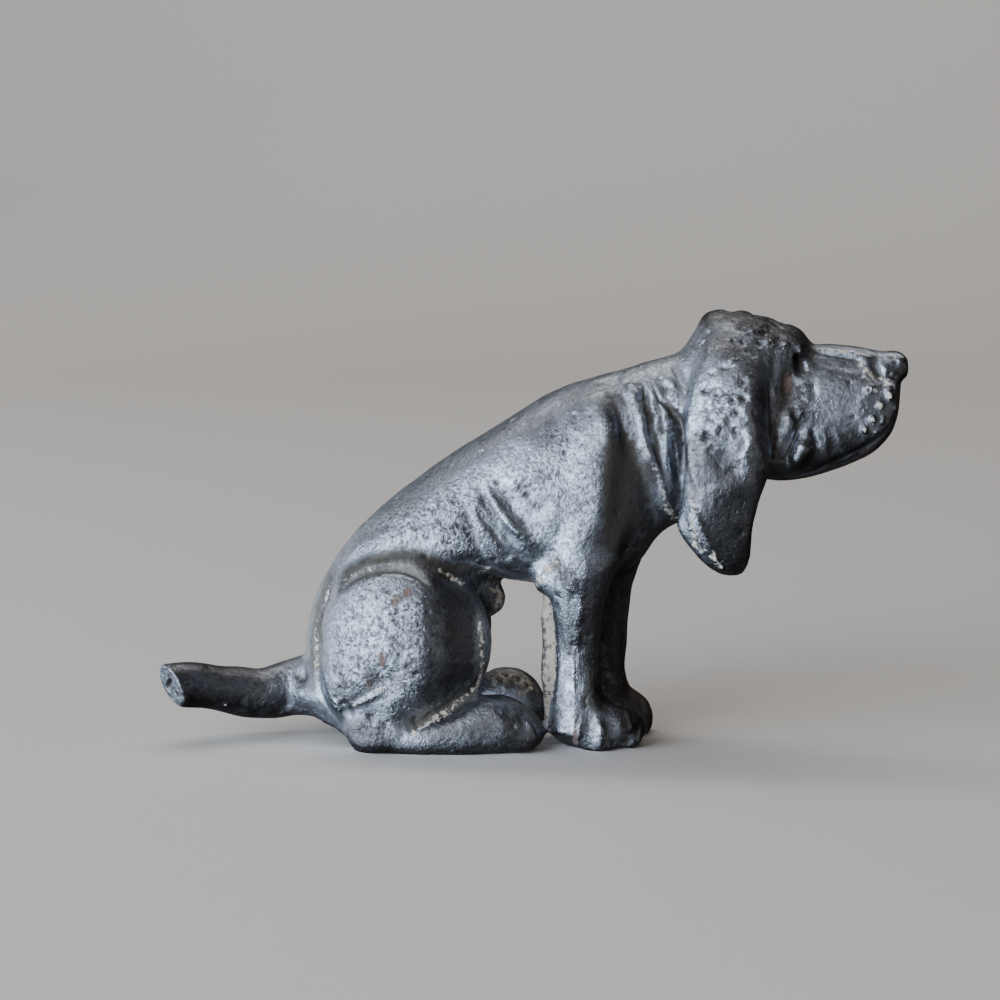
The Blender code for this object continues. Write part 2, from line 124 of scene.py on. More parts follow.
# Strokes, as (height, half width, points): a height below nought cuts a groove, one above it
# raises a fold.
EYE = [
    (-0.27, 1.1, [(27.6, 42), (26.8, 40.6), (26.5, 38.6), (26.6, 36.4)]),
    (-1.3, 0.36, [(27.9, 41.8), (28.1, 41.2), (28.2, 40.6), (28.1, 39.9)]),
    (0.07, 0.6, [(29.3, 41.8), (29.5, 40.9), (29.1, 39.8)]),
    (0.18, 0.6, [(25.6, 44), (27, 43.5), (28.2, 42.7), (29.2, 42.2)]),
    (-0.13, 0.35, [(29.6, 39.2), (29.5, 38.2), (29.8, 37.2)]),
    (0.1, 0.3, [(28.5, 36.4), (29.1, 37.4)]),
]
MUZZLE = [
    (-0.3, 0.35, [(29.8, 41.8), (31.1, 41.6), (32.4, 41.4), (33.9, 41.1), (35.3, 40.5)]),
    (0.11, 0.4, [(30.2, 42.2), (31.9, 42), (33.5, 41.8), (34.9, 41.6)]),
    (-0.27, 0.4, [(36.3, 41.5), (36.1, 40.5), (36.5, 39.5), (37.2, 38.7)]),
    (0.13, 0.32, NOSTRIL),
    (-0.27, 0.32, [(36.9, 39.8), (37.6, 39.4), (38.4, 39.1)]),
    (0.12, 0.8, [(34.6, 37.8), (34.8, 36.6), (34.3, 35)]),
    (0.08, 0.3, [(31.8, 34.2), (32.3, 33.1), (32.8, 32)]),
    (0.06, 0.34, [(30.6, 34.6), (30.9, 33.4), (31.1, 32.5)]),
    (-0.1, 0.36, [(31.3, 33.4), (31.6, 32.2), (31.6, 31.2)]),
    (-0.2, 0.34, [
        (26.8, 29.3), (28.9, 29.3), (30.9, 30), (33.2, 31.2), (35.5, 32.4), (37.2, 33.7),
        (38.2, 35.1),
    ]),
]
CHEEK = [
    (0.42, 0.8, [(28.9, 32.8), (28.2, 31.5), (27.5, 30.4)]),
    (-0.42, 0.22, [(29.4, 34), (29.7, 33), (30.1, 31.9)]),
    (-0.42, 0.24, [(28.1, 34.1), (27.5, 32.7), (27, 31.3)]),
    (0.11, 0.24, [(27.7, 33.3), (27, 32.3), (26.6, 31.3)]),
    (0.14, 0.38, [(26.9, 36.3), (27.1, 34.8), (27.3, 33.1)]),
    (-0.15, 0.36, [(27.5, 36.5), (27.8, 35.2), (28.2, 34.1)]),
    (0.09, 0.48, [(26.4, 32.7), (26.3, 31.3), (26.4, 29.7)]),
    (0.12, 0.34, [(25.1, 42.4), (24.9, 41), (25.1, 39.3), (25.6, 37.6), (25.8, 36.2)]),
    (-0.14, 0.38, [(24.6, 39.4), (24.9, 37.6), (25.2, 35), (25.2, 31.9)]),
    (-0.12, 0.5, [(26, 37.1), (25.8, 34.5), (25.6, 31.9), (25.4, 29.7)]),
]
NECK = [
    (-0.35, 0.6, [(8.1, 38.8), (9.2, 36.6), (10, 34), (10.6, 32)]),
    (0.3, 0.75, [(10.6, 39.2), (11.2, 36.6), (11.7, 34.5), (12, 33)]),
    (-0.25, 0.32, [(11.9, 38.9), (12.3, 36.6), (12.6, 34.5), (12.9, 32.7)]),
    (0.2, 0.42, [(12.7, 37.5), (13.3, 35), (13.6, 33.2)]),
    (-0.3, 0.36, [(13.3, 37.6), (13.8, 35.6), (14.1, 33)]),
    (0.25, 0.48, [(14.2, 36.6), (15, 34.5), (15.6, 32), (15.9, 29.4)]),
    (-0.38, 0.32, [
        (11.7, 40.1), (12.8, 38.7), (13.8, 37.1), (14.9, 35.9), (15.8, 34.5), (16.1, 32.5),
        (16.1, 29.6),
    ]),
    (0.25, 0.75, [(13.4, 40), (14.6, 38.2), (15.4, 36.6), (16.1, 35.1)]),
    (-0.16, 0.34, [(14.4, 40.6), (15.4, 39.2), (15.9, 37.7)]),
    (-0.1, 0.8, [(16.1, 27.8), (15.9, 25.9)]),
    (0.32, 0.36, [(12.4, 32.6), (13.3, 30.4), (13.8, 28.8), (14.3, 26.6), (14.8, 25)]),
]
EAR = [
    (-0.12, 0.38, [(16.5, 37.1), (16.4, 35.6), (16.3, 33.9)]),
    (0.18, 0.55, [(16.7, 33.1), (16.9, 31), (17.3, 29.5), (17.8, 27.8)]),
    (-0.18, 0.32, [(19.9, 40.6), (20.5, 40.4), (21.3, 40.6)]),
    (0.12, 0.3, [(20.7, 41), (21.7, 41.5)]),
    (-0.06, 0.18, [(19.6, 41.4), (20.1, 42.7)]),
    (-0.09, 0.4, [(17, 29.2), (17.7, 26.5), (18.9, 23.9), (19.9, 22), (21.1, 19.8)]),
    (0.12, 0.45, [(16.5, 26.6), (17.3, 24), (18.6, 21.9), (20, 20.2)]),
]
RIBS = [
    (-0.13, 0.48, [
        (-6.7, 27.6), (-6.3, 26), (-5.9, 23.9), (-5.1, 21.8), (-3.9, 20.2), (-2.4, 18.8),
        (-0.3, 18.1),
    ]),
    (0.38, 0.75, [
        (-6.1, 26.6), (-5.8, 25), (-5.2, 23.2), (-4.2, 21.6), (-2.9, 20.3), (-1.4, 19.3),
        (0.1, 18.8),
    ]),
    (-0.15, 0.38, [
        (-5.7, 26.9), (-5.1, 25.5), (-4.1, 24.1), (-3, 22.8), (-2.1, 21.7), (-0.7, 20.7),
        (0.7, 20.2),
    ]),
    (0.09, 0.3, [(-5.6, 27.6), (-4.9, 26.4), (-4.2, 25.2), (-3.5, 24.1), (-2.8, 23.3)]),
    (0.11, 0.24, [(-2.8, 23), (-2.2, 22.1), (-1.5, 21.5)]),
    (-0.11, 0.34, [(-5.2, 28), (-4.4, 26.6), (-3.5, 25.4), (-2.7, 24.4), (-1.9, 23.3), (-0.6, 22.3)]),
    (0.1, 0.58, [(-4.8, 28.7), (-3.9, 27.4), (-2.9, 25.9), (-1.8, 24.4), (-0.6, 23.1), (0.9, 21.7)]),
    (-0.08, 0.28, [(-4.2, 28.7), (-3.6, 27.7), (-2.9, 26.7)]),
    (-0.14, 0.42, [(-2.9, 28.7), (-2.2, 27.8), (-1.4, 26.9), (-0.4, 26.1), (0.5, 25.3), (1.5, 24.2)]),
    (-0.09, 0.9, [(0.6, 21), (1.9, 21.4)]),
    (-0.04, 0.2, [(4.6, 27.8), (3.8, 27.2)]),
    (-0.04, 0.2, [(2.2, 27), (2.5, 25.7)]),
    (-0.04, 0.18, [(5.4, 30.9), (7.4, 29.9)]),
    (-0.12, 0.75, [(-7.4, 19.7), (-6.2, 20.1), (-5, 20.5)]),
]
HAUNCH = [
    (-0.25, 0.46, [
        (-20.3, 16.9), (-21.4, 15), (-21.9, 12.9), (-22.1, 10.8), (-22.2, 8.7), (-22.1, 6.5),
        (-21.3, 4.9), (-20.5, 3.5),
    ]),
    (0.12, 0.4, [(-21, 16.6), (-21.9, 14.7), (-22.6, 12.9), (-22.9, 11), (-22.8, 9), (-22.7, 7.5)]),
    (-0.38, 0.42, [
        (-19.4, 17), (-17.6, 18.6), (-15.1, 19.3), (-12.8, 19.3), (-11.2, 18.8), (-10, 17.6),
    ]),
    (0.22, 0.34, [(-17.9, 5.2), (-16, 6.2), (-14.2, 7.2)]),
    (0.1, 0.3, [(-20.7, 5.3), (-19.8, 4.7), (-18.9, 4.5)]),
    (0.12, 0.8, [(-17.6, 3.6), (-17.4, 2.6)]),
    (-0.3, 0.44, [(-11.7, 2.7), (-10.4, 3.6), (-8.9, 4.5), (-7.4, 5.3), (-5.9, 6.3), (-5, 7.8)]),
    (0.15, 0.42, [(-11.5, 2.2), (-10.9, 2.7), (-9.7, 3.3), (-8.7, 3.9)]),
    (-0.11, 0.26, [(-4.7, 14.1), (-4.4, 11.3), (-4.8, 8.3), (-5.9, 6.3)]),
]
FORELEG = [
    (-0.09, 0.2, [(4.5, 11), (4.4, 8.8), (4.6, 6.5), (4.8, 4.2)]),
    (0.1, 0.32, [(2.8, 19.2), (3.3, 18), (3.2, 16.6)]),
    (-0.1, 0.5, [(3.5, 13.6), (3.8, 9.4), (3.4, 5.6)]),
    (0.1, 0.4, [(4.7, 9.8), (4.9, 6)]),
    (0.15, 0.7, [(4, 17.6), (5.6, 18)]),
    (0.06, 0.3, [(4.6, 15), (5.2, 12.6), (4.9, 10.4)]),
    (-0.07, 0.26, [(5.4, 14.6), (5.9, 12.4), (5.7, 9.8), (5.9, 7.4)]),
    (0.12, 0.5, [(6.3, 20.6), (6, 17.4), (5.6, 14.1), (5.8, 10.8), (5.9, 7.5)]),
    (-0.15, 0.2, [(6.5, 6.1), (6.1, 5.4), (6.3, 4.3)]),
]
FORE_TOES = [
    (-0.12, 0.24, [(5.6, 3.8), (5.2, 2.4), (5.1, 0.8)]),
    (0.08, 0.42, [(6, 3.8), (6.3, 2.2), (6.5, 0.9)]),
    (-0.08, 0.28, [(7.1, 3.2), (7.4, 2), (7.7, 1.2)]),
    (0.06, 0.32, [(7.7, 3.2), (8.1, 2.2)]),
    (-0.4, 0.8, [(8.8, 1), (10.2, 0.8), (11.2, 0.9)]),
    (0.15, 0.3, [(10.3, 4.2), (10.9, 3), (11, 1.9)]),
    (-0.22, 0.34, [(11.5, 4.2), (11.9, 2.8), (11.7, 1.4)]),
]
HIND_TOES = [
    (-0.14, 0.4, [(-1.5, 5.6), (-0.6, 4.6), (-0.1, 3.1), (-0.1, 1.9)]),
    (0.09, 0.3, [(-0.4, 4.3), (0.3, 3.4), (1, 2.4)]),
    (-0.08, 0.3, [(0.4, 4.3), (1.2, 3.1), (1.4, 2)]),
]
TAIL = [
    (-0.25, 0.6, [(-26.9, 8), (-26.3, 6.4), (-26.2, 4.2), (-26.9, 2.5)]),
    (-0.6, 0.17, BREAK_CAVITIES[0]),
    (-0.55, 0.17, BREAK_CAVITIES[1]),
]
# Small bumps and pits, as (height, radius, places)
WHISKER_ROOTS = [
    (0.42, 0.5, [(35.4, 38.1)]),
    (-0.4, 0.2, [(35.3, 38.1)]),
    (0.4, 0.36, [(37.3, 37.9), (37.5, 37.3), (36.5, 36.5), (35.7, 35.1), (34.9, 34)]),
    (0.22, 0.2, [(36.8, 35.2), (36.7, 34.7), (38.1, 36.2), (36.1, 33.7)]),
    (0.1, 0.3, [(28.3, 35.7), (28.1, 34.3)]),
]
MARKS = [
    (-0.22, 0.26, [(18.6, 43.8), (19, 42.2), (18, 42.7), (22.2, 43), (21.2, 43)]),
    (-0.25, 0.45, [(22, 44.4), (25.1, 44.2), (26.1, 43.4), (24, 42.9)]),
    (0.2, 0.4, [(23.2, 44.2), (24.8, 43.2), (26.6, 42.8)]),
    (0.22, 0.24, [(17.2, 26), (17, 24), (17.4, 22.2), (18.3, 21.5), (19.6, 20.7), (20.3, 19.8)]),
    (0.24, 0.3, [(-6.7, 18), (-5.1, 18.5), (-4, 19.2)]),
    (-0.6, 0.5, [(-3.5, 15)]),
    (0.2, 0.35, [(-4.3, 16.4), (-3.3, 15.9)]),
    (0.2, 0.22, [(-32.4, 4.1)]),
    (0.35, 0.5, [(-4.4, 5, 6), (-2.2, 5, 6.1), (-3.3, 4.6, 5.2)]),
    (0.28, 0.4, [(-1.2, 5, 5.3), (0.2, 4.6, 4.6)]),
    (-0.25, 0.35, [(-3.4, 5, 6.2), (-1.6, 5, 5.7), (-0.6, 4.8, 5)]),
]
FOLDS = EYE + MUZZLE + CHEEK + NECK + EAR + RIBS + HAUNCH + FORELEG
# The broad planes of the thigh and the ear
PLANES = [
    (0.2, 1.5, [(-11.3, 19.4), (-10.6, 16.4), (-10.3, 12.3), (-10.6, 8), (-11.6, 5.4)]),
    (-0.45, 1.8, [(-7.2, 17.4), (-6.6, 12), (-7.4, 6.6)]),
    (0.45, 0.6, [(-4.9, 15.4), (-4.5, 12), (-4.5, 9)]),
    (0.35, 0.55, [(5.4, 4.4), (5.4, 2.6), (5.3, 1.2)]),
    (0.3, 0.55, [(7.3, 3.6), (7.6, 2.2), (7.8, 1.4)]),
    (0.3, 0.8, THIGH_FOOT),
    (0.22, 0.8, THIGH_TOP),
    (0.38, 0.9, [(-20, 19), (-17.6, 20.9), (-13.2, 21.9), (-9.4, 21.2), (-7.4, 19.4)]),
    (0.5, 1.7, [(-9, 22), (-6.8, 21.4), (-4.4, 20.6), (-1.8, 20)]),
    (0.6, 1.8, [(8.8, 37), (9.5, 33.5), (9.5, 30), (8.8, 26)]),
    (-0.65, 2, [(20.1, 31.2)]),
    (0.3, 1.2, [(22.8, 38.6), (23, 35.2), (23, 32.2)]),
    (0.9, 0.9, [(1.9, -1.2, 16), (1.9, -1.2, 12), (1.9, -1.2, 8), (1.9, -1.2, 4)]),
]
# Where the skin is rubbed smooth again: for each group of sides, strokes as (share, half width, points)
RUBBED = {
    (RIGHT, LEFT): [
        (1, 1, THIGH_FOOT),
        (1, 1, THIGH_TOP),
        (1, 1.1, [(-17.6, 20.9), (-13.2, 21.9), (-9.4, 21.2)]),
        (1, 1.3, [(9.7, 31), (9.6, 28), (9.2, 24.5)]),
    ],
    (RIGHT,): [
        (0.8, 0.8, [(-1.9, 5), (-1.1, 3.7), (-0.9, 1.4)]),
        (0.8, 0.7, [(-0.4, 4.4), (0.3, 3.4), (0.4, 1.4)]),
        (1, 0.9, [(5.8, 4.6), (6.5, 2.9), (6.8, 1.2)]),
        (0.8, 0.6, [(8.2, 5.1), (8.9, 3.2), (9, 1.2)]),
        (0.8, 0.9, [(3.4, 15.8), (4.8, 16.2), (6.2, 16.5)]),
        (0.9, 2.2, [(4.4, 16.4), (4.6, 12), (4.8, 8), (4.9, 4.6)]),
        (0.8, 2.4, [(30.8, 37.6), (32.6, 36.4), (31.8, 34.4)]),
    ],
    (LEFT,): [
        (1, 1, [(-20.8, 16.8), (-21.9, 13), (-21.9, 9), (-21.4, 6)]),
    ],
}
# The lumps along the crown of the head and the brow, and the dips between them
CROWN = [
    (0.16, 1.1, [(18.6, 0.5, 46), (19.8, 0.5, 46)]),
    (-0.26, 0.42, [(20.9, 0.5, 45.7)]),
    (0.18, 0.8, [(22.2, 0.5, 45.6)]),
    (-0.2, 0.45, [(23.7, 0.5, 45.3)]),
    (0.18, 0.8, [(25, 0.5, 45.1)]),
    (-0.16, 0.5, [(26.3, 0.5, 44.7)]),
    (-0.25, 0.5, [(29.9, 0.5, 42.5)]),
]

# How pitted the skin is, and where each kind of soiling and of painted shade lies, as (amount, radius,
# points)
PITTED = [
    (0.85, 3.2, [(-17.6, 14), (-17.4, 10), (-14.4, 9.6), (-13.6, 14.6), (-16, 16.6)]),
    (0.7, 1.4, [(-11.4, 16), (-11.2, 12), (-11.6, 8), (-14.9, 3)]),
    (0.85, 2.6, [(-15, 23.6), (-10.6, 24.6), (-6, 27.2), (-7.4, 22.6)]),
    (0.45, 3, [(-2, 29.6), (2, 28), (4.6, 31.6), (5.6, 26.4), (3, 23)]),
    (0.15, 1.8, [(4.6, 14), (4.6, 9), (4.6, 4)]),
    (0.52, 1.9, [(18.8, 38.4), (20.4, 36.8), (21.8, 38), (18.6, 35.6), (19, 34.2)]),
    (0.75, 1.8, [(23, 44.4), (25.2, 43.6), (27, 42.6)]),
    (0.6, 1.3, [(28, 38.2), (28.4, 36.4)]),
    (0.55, 1.4, [(11.4, 36.4), (13.2, 35.4), (14.8, 37), (15.2, 33)]),
    (0.7, 1.3, RUMP_EDGE),
    (0.45, 1.6, [(-25.6, 6.4), (-24.4, 4.6), (-22.6, 9), (-22.2, 14)]),
    (0.45, 1.4, [(3.4, 20), (4.6, 18)]),
    (0.45, 1.4, [(8.2, 5.6), (9.6, 4)]),
    (0.5, 1.6, [(-4, 5, 5.8), (-1.6, 5, 5.2)]),
    (0.6, 1, BELLY_LUMP),
]
# Where the hammer blows fall
HAMMERED = [
    (1, 1.5, [
        (18.8, 38.4), (20.4, 36.8), (21.8, 38.2), (18.6, 35.6), (19, 33.8), (22.6, 36),
        (21.6, 34.6),
    ]),
    (0.6, 1.2, [(23, 33.6), (22.8, 31.4), (21.6, 29.6)]),
    (0.6, 1.2, [(11.6, 36.8), (13.2, 35.6), (14.9, 37.4), (15.6, 33)]),
    (0.4, 1.2, [(-25, 6), (-23.6, 7.6), (-14.9, 2.8)]),
    (0.25, 1.6, [(4.6, 18.8), (4.6, 5)]),
    (0.6, 1.5, [(23, 0, 45.4), (25.6, 0, 44.8), (24.6, -2.6, 44.2)]),
]
CHALK = [
    (0.52, 0.55, [(30.2, 42.3), (31.9, 42.1), (33.5, 41.9), (34.9, 41.7)]),
    (0.56, 0.75, [(34.5, 40.6), (35, 39.8), (35.7, 39.3)]),
    (0.54, 0.5, NOSTRIL),
    (0.42, 0.5, [(36, 41.6), (36.8, 41.6), (38.2, 41.5)]),
    (0.85, 0.42, [(35.9, 38)]),
    (0.6, 0.3, [(35.1, 38.4)]),
    (0.95, 0.42, [(37.4, 37.6)]),
    (0.95, 0.42, [(36.5, 36.5)]),
    (0.9, 0.4, [(35.7, 35.1)]),
    (0.9, 0.38, [(34.9, 34)]),
    (0.6, 0.22, [(36.8, 34.9)]),
    (0.3, 1.6, [(24.4, 44), (26.6, 42.8)]),
    (0.44, 0.45, [(13.3, 30.4), (13.8, 28.8), (14.3, 26.6)]),
    (0.56, 0.6, [(14.4, 25.9), (14.9, 25), (15.6, 24.4)]),
    (0.4, 0.9, [(17.2, 27), (17.2, 24), (17.8, 22.4), (19.2, 21.4)]),
    (0.55, 0.45, [(17.5, 22.2), (18.3, 21.5)]),
    (0.52, 0.48, [(19.2, 21), (20.3, 19.9)]),
    (0.62, 0.45, [(-8.8, 19.2), (-7.7, 18.4), (-6.9, 17.8)]),
    (0.58, 0.5, [(-5.3, 18.4), (-4.6, 18.9), (-4, 19.4)]),
    (0.55, 0.45, [(-4.4, 17.8), (-2.2, 17.6), (0.6, 17.6)]),
    (0.52, 0.75, [(0.9, 17.9), (2, 19), (3, 20.3)]),
    (0.66, 0.6, [(-11.6, 2.4), (-10.9, 2.9), (-9.7, 3.5), (-8.2, 4.4)]),
    (0.44, 0.5, [(-8.2, 4.4), (-6.9, 5.4), (-5.6, 6.6)]),
    (0.74, 1.5, [
        (1.5, -2, 17.1), (1.7, -1.2, 14.6), (2.3, -1.6, 12.5), (2.5, -1.7, 10.4), (2.5, -1.8, 8.2),
        (2.2, -1.8, 6),
    ]),
    (0.75, 1.5, [(1.8, -1.6, 3.9), (1.9, -2, 3)]),
    (0.52, 0.45, [(2.6, 15), (2.85, 12.5), (2.9, 10), (2.85, 7.6), (2.5, 5.4)]),
    (0.52, 1.8, [(-4.4, 5.2, 5.4), (-2.6, 5.4, 5.6), (-1, 5, 4.6)]),
    (0.58, 1.1, [(-4.2, 16.4), (-3.4, 15.8), (-3.8, 14.2)]),
    (0.54, 0.45, [(-4.7, 14), (-4.5, 11), (-4.7, 8.4), (-5.2, 6.8)]),
    (0.52, 0.4, [(-21.1, 17.2), (-21.6, 15.2)]),
    (0.52, 0.4, [(-22.6, 12.4), (-22.4, 9.6), (-22.5, 7.6)]),
    (0.42, 0.4, [(-19.2, 18.1), (-17.8, 18.9), (-16.2, 19.5)]),
    (0.56, 0.34, [(-17.9, 5.3), (-16, 6.3), (-14.3, 7.2)]),
    (0.9, 0.26, [(-32.4, 4.1)]),
]
RUST = [
    (0.72, 0.95, [(-13.4, 16.4)]),
    (0.72, 0.9, [(-12.2, 17.2)]),
    (0.76, 0.62, [(-14.7, 10.8), (-14.6, 10)]),
    (0.56, 0.9, [(-16.1, 7.4)]),
    (0.52, 0.7, [(-12.6, 8.2)]),
    (0.62, 0.8, [(26.8, 39.4), (26.8, 38.2)]),
    (0.65, 0.42, [(5.2, 2.2), (5.1, 0.8)]),
    (0.5, 0.5, [(7, 4.8)]),
    (0.5, 0.45, [(23.3, 34.6), (23.4, 33.9)]),
    (0.58, 0.7, [(31.4, 29.6), (33.4, 30.3), (36, 32)]),
]
# Dark brown, partly real dirt and partly painted shade: the strokes marked below stand in for shade
GRIME_AND_SHADE = [
    (0.55, 1, THIGH_CREST + [(-6.6, 16.6)]),
    (0.42, 1.1, [(27.6, 42), (26.8, 40.6), (26.5, 38.6), (26.6, 36.4), (26.3, 33), (26.2, 30)]),
    # Painted shade in the hole of the eye
    (0.95, 0.5, [(27.9, 41.6), (28.15, 40.7), (28.1, 39.9)]),
    (0.4, 0.6, [(-6.5, 17.2), (-5.4, 16.6), (-4.9, 14), (-4.4, 11.3), (-4.8, 8.3), (-5.9, 6.3)]),
    (0.4, 0.8, [(16.1, 28), (15.9, 25.6)]),
    # Painted shade along the underside of the jaw
    (1.25, 0.85, [(27, 28.5), (30, 28.9), (33, 30), (36, 31.9), (38, 34.1)]),
    # Painted shade on the throat and on the chest between the forelegs
    (1.3, 2.1, [(9.8, 31), (9.8, 29), (9.8, 26), (9.8, 22.6)]),
    (0.9, 1.7, [(12, 29.6), (11.6, 26), (12.4, 24)]),
    (0.95, 0.95, [(-8.6, 19), (-6.4, 19.3), (-4.2, 19), (-2.6, 18.2)]),
    # Painted shade on the far fore paw
    (0.95, 2.6, FAR_PAW),
    # Painted shade under the jaw
    (1.2, 0.9, [
        (28, -2.5, 28.4), (31, -2.6, 29), (34, -2.4, 30.4), (36.6, -2, 32.2), (38.2, -1.4, 34.4),
    ]),
    (0.45, 0.45, [(5.9, 6), (6.5, 4.4), (7, 3)]),
    (0.6, 1.1, [(8.2, 4.6), (8.8, 3.2), (9.2, 2)]),
    # Painted shade in the cracks of the broken face of the tail
    (0.8, 0.24, BREAK_CAVITIES[0]),
    (0.8, 0.22, BREAK_CAVITIES[1]),
    # Painted shade in the pit of the lump under the belly
    (0.9, 0.4, [(-3.5, 15)]),
    # Painted shade on the side of the far foreleg that the camera sees
    (0.85, 2.2, [(8.6, 2.6, 22), (8.6, 2.6, 17), (8.4, 2.8, 12), (8.4, 3, 7.6)]),
    # Painted shade under the fore toes
    (0.6, 0.9, [(9.4, 1.4), (10.6, 1.2)]),
    (0.5, 0.45, [(2, -1.2, 15), (2.3, -1.4, 11.5), (2.2, -1.6, 8)]),
]
DUST = [
    (0.38, 3.2, SPINE),
    (0.36, 2.6, [(5, 37.4), (7.6, 36.6)]),
    (0.45, 2.4, [(8.4, 37.6), (10.8, 36), (12.8, 36.6), (14.6, 38.6), (13, 32), (14.6, 27)]),
    (0.5, 1.6, [(26.4, 41), (26.4, 36), (26.2, 31)]),
    (0.58, 1, THIGH_CREST),
    (0.72, 1.4, [(-21, 19), (-22, 16), (-22.8, 12.6), (-22.9, 9), (-23.2, 6.4)]),
    (0.62, 1, [(-10.8, 3.4), (-8, 5), (-5.4, 7.2), (-4.7, 11), (-4.8, 14.8), (-5.4, 16.4)]),
    (0.7, 2.2, [(-4.2, 5, 5.4), (-2.4, 5.2, 5.4), (-0.8, 4.8, 4.2)]),
    (0.8, 1.2, BELLY_LUMP),
    (0.55, 0.8, [(-5, 18.2), (-2, 17.8), (1, 17.8)]),
    (1.1, 2, [(1.4, -1.2, 16.6), (1.8, -0.8, 12), (1.8, -0.8, 7), (1.6, -1, 3.6)]),
    (0.6, 1.6, HIND_TOE_TOPS),
    (0.5, 1.3, [(-15, 20.9), (-12, 21.1), (-9, 20.4)]),
    (0.4, 1.3, [(6.8, 5.8), (7.6, 4.4)]),
    (0.4, 2.2, [(-12.5, 2.4), (-9, 2.6), (-5, 3), (-1.5, 3.4)]),
    (0.28, 2.6, SKULL_TOP),
    (0.5, 0.8, EYE_FRONT),
    (0.4, 2.2, [(18.6, 44.6), (20, 43.6)]),
    (0.45, 1.2, [(34.5, 41), (35.6, 39.4)]),
    (0.32, 3.4, TAIL_LENGTH),
    (0.62, 0.9, CREST_SLOPE),
]
# Dark metal, partly real patina and partly painted shade: the strokes marked below stand in for shade
TARNISH_AND_SHADE = [
    (0.82, 3.6, TAIL_LENGTH),
    (0.95, 2, [(23, 45.2), (25, 44.4), (27.2, 43.2)]),
    (0.62, 2.2, [(18.4, 45.6), (19.4, 43.8), (20.6, 42.6)]),
    (0.8, 2.4, [(20.8, 28.6), (20.8, 27), (20.6, 24.2), (21.2, 21.2)]),
    (0.5, 1.2, [(24.2, 38), (24.4, 34), (23.8, 29.6)]),
    (0.55, 1.4, [(38, 40.2), (38.6, 39.6)]),
    (0.28, 3.2, [(31, 39.4), (33.4, 37.6), (36, 36), (31.6, 33.2)]),
    (0.95, 2, [(25.6, -3, 43.8), (28.4, -2.6, 42.6)]),
    (0.62, 1.6, [(27.4, 41.2), (27.6, 38.8), (28, 37), (28.2, 35)]),
    (0.6, 0.8, EYE_FRONT),
    (0.42, 2, [(29.4, 34.6), (31, 33.6), (33, 32.8)]),
    (0.85, 3, SKULL_TOP),
    (0.7, 2.4, [(19, 0, 46.3)]),
    (0.66, 2.2, [(-9, 3), (-5, 3.2), (-1.5, 3.2)]),
    (0.1, 1.6, [(-16.8, 2.4), (-13, 2.4)]),
    (0.5, 0.95, [(-14.9, 2.8)]),
    (0.65, 1.8, [(7.6, 5.6), (9.2, 4.4), (10.8, 3)]),
    (0.3, 2.6, SPINE),
    (0.3, 2.2, [(12, 32), (14, 29)]),
    (0.56, 0.8, [(9, 37), (10, 34), (10.6, 32)]),
    # The next stroke is painted shade, darker where the thigh turns away from the light
    (0.3, 1.5, [(-11.4, 17), (-10.9, 12.6), (-11.2, 8.4)]),
    (0.45, 1.4, [(-15.9, 8.6)]),
    # The next two strokes are painted shade on the side of the thigh that faces away from the light
    (0.75, 2.6, [(-7.4, 16.6), (-6.8, 12), (-7.4, 7.4)]),
    (0.42, 1.6, [(-9.8, 16.8), (-9.2, 12.6), (-9.8, 8)]),
    (0.36, 3, [(5, 36.4), (8, 35.8), (2, 33.6)]),
    (0.9, 1.7, [(20, 31.4), (20.6, 30)]),
    (0.55, 1.6, [(4.4, 14.8), (4.6, 12.6), (4.8, 10.6)]),
    (0.34, 2, [(4.2, 8.4), (4.2, 4), (7.2, 2.4)]),
    (0.95, 0.8, [(15.2, 35.6), (16, 33), (16.2, 30)]),
    (0.35, 2, [(-19.6, 9), (-18.6, 6.4)]),
    (0.7, 2.4, [(28, 30.4), (31, 31.2), (34, 32.6)]),
    # Painted shade on the throat
    (1, 2.4, [(9.6, 31.6), (9.6, 26), (9.8, 22.6)]),
    (0.75, 2.2, [(18.6, -1.6, 45.8), (20.6, -2, 45.6), (22.4, -2.2, 45.2)]),
    (0.66, 1.6, HIND_TOE_TOPS),
    (0.9, 1.3, [(17.2, 32.4), (17.3, 30), (17.5, 27.6)]),
    (0.62, 1.6, RUMP_EDGE),
    (0.95, 1.6, [(-17.2, 2.4), (-15, 1.2)]),
    (0.95, 1.15, THIGH_CREST),
    (0.7, 0.6, [(-19.4, 17.2), (-17.6, 18.7), (-15.1, 19.4), (-12.8, 19.4), (-11.1, 18.9), (-10, 17.6)]),
    (0.65, 1.6, [(18.4, 29.6), (18.8, 26.6), (19.6, 23.4)]),
    (0.55, 1.4, [(3.2, 20), (4.4, 18.2)]),
    (0.2, 0.9, [(-1.4, 19.6), (0.4, 20.6), (1.6, 21.6)]),
    (0.9, 1.1, [(-11.6, 19.7), (-10, 19), (-8.8, 17.9)]),
    (0.9, 1.4, [(18.4, 32.4), (18.4, 29.4)]),
    # Painted shade on the far fore paw
    (1, 2.6, FAR_PAW),
    (0.92, 0.8, CREST_SLOPE),
]
# Where the metal is drawn out in upright streaks
STREAKED = [
    (1, 1.8, [(4.8, 17), (4.8, 12), (5, 6)]),
    (0.6, 1.6, [(18, 31), (18.6, 28)]),
]
# The attribute of the skin that each kind of stroke is painted in
PAINTED = {
    "chalk": CHALK, "rust": RUST, "grime_and_shade": GRIME_AND_SHADE, "tarnish_and_shade": TARNISH_AND_SHADE, "dust": DUST,
    "pitted": PITTED, "streaked": STREAKED,
}


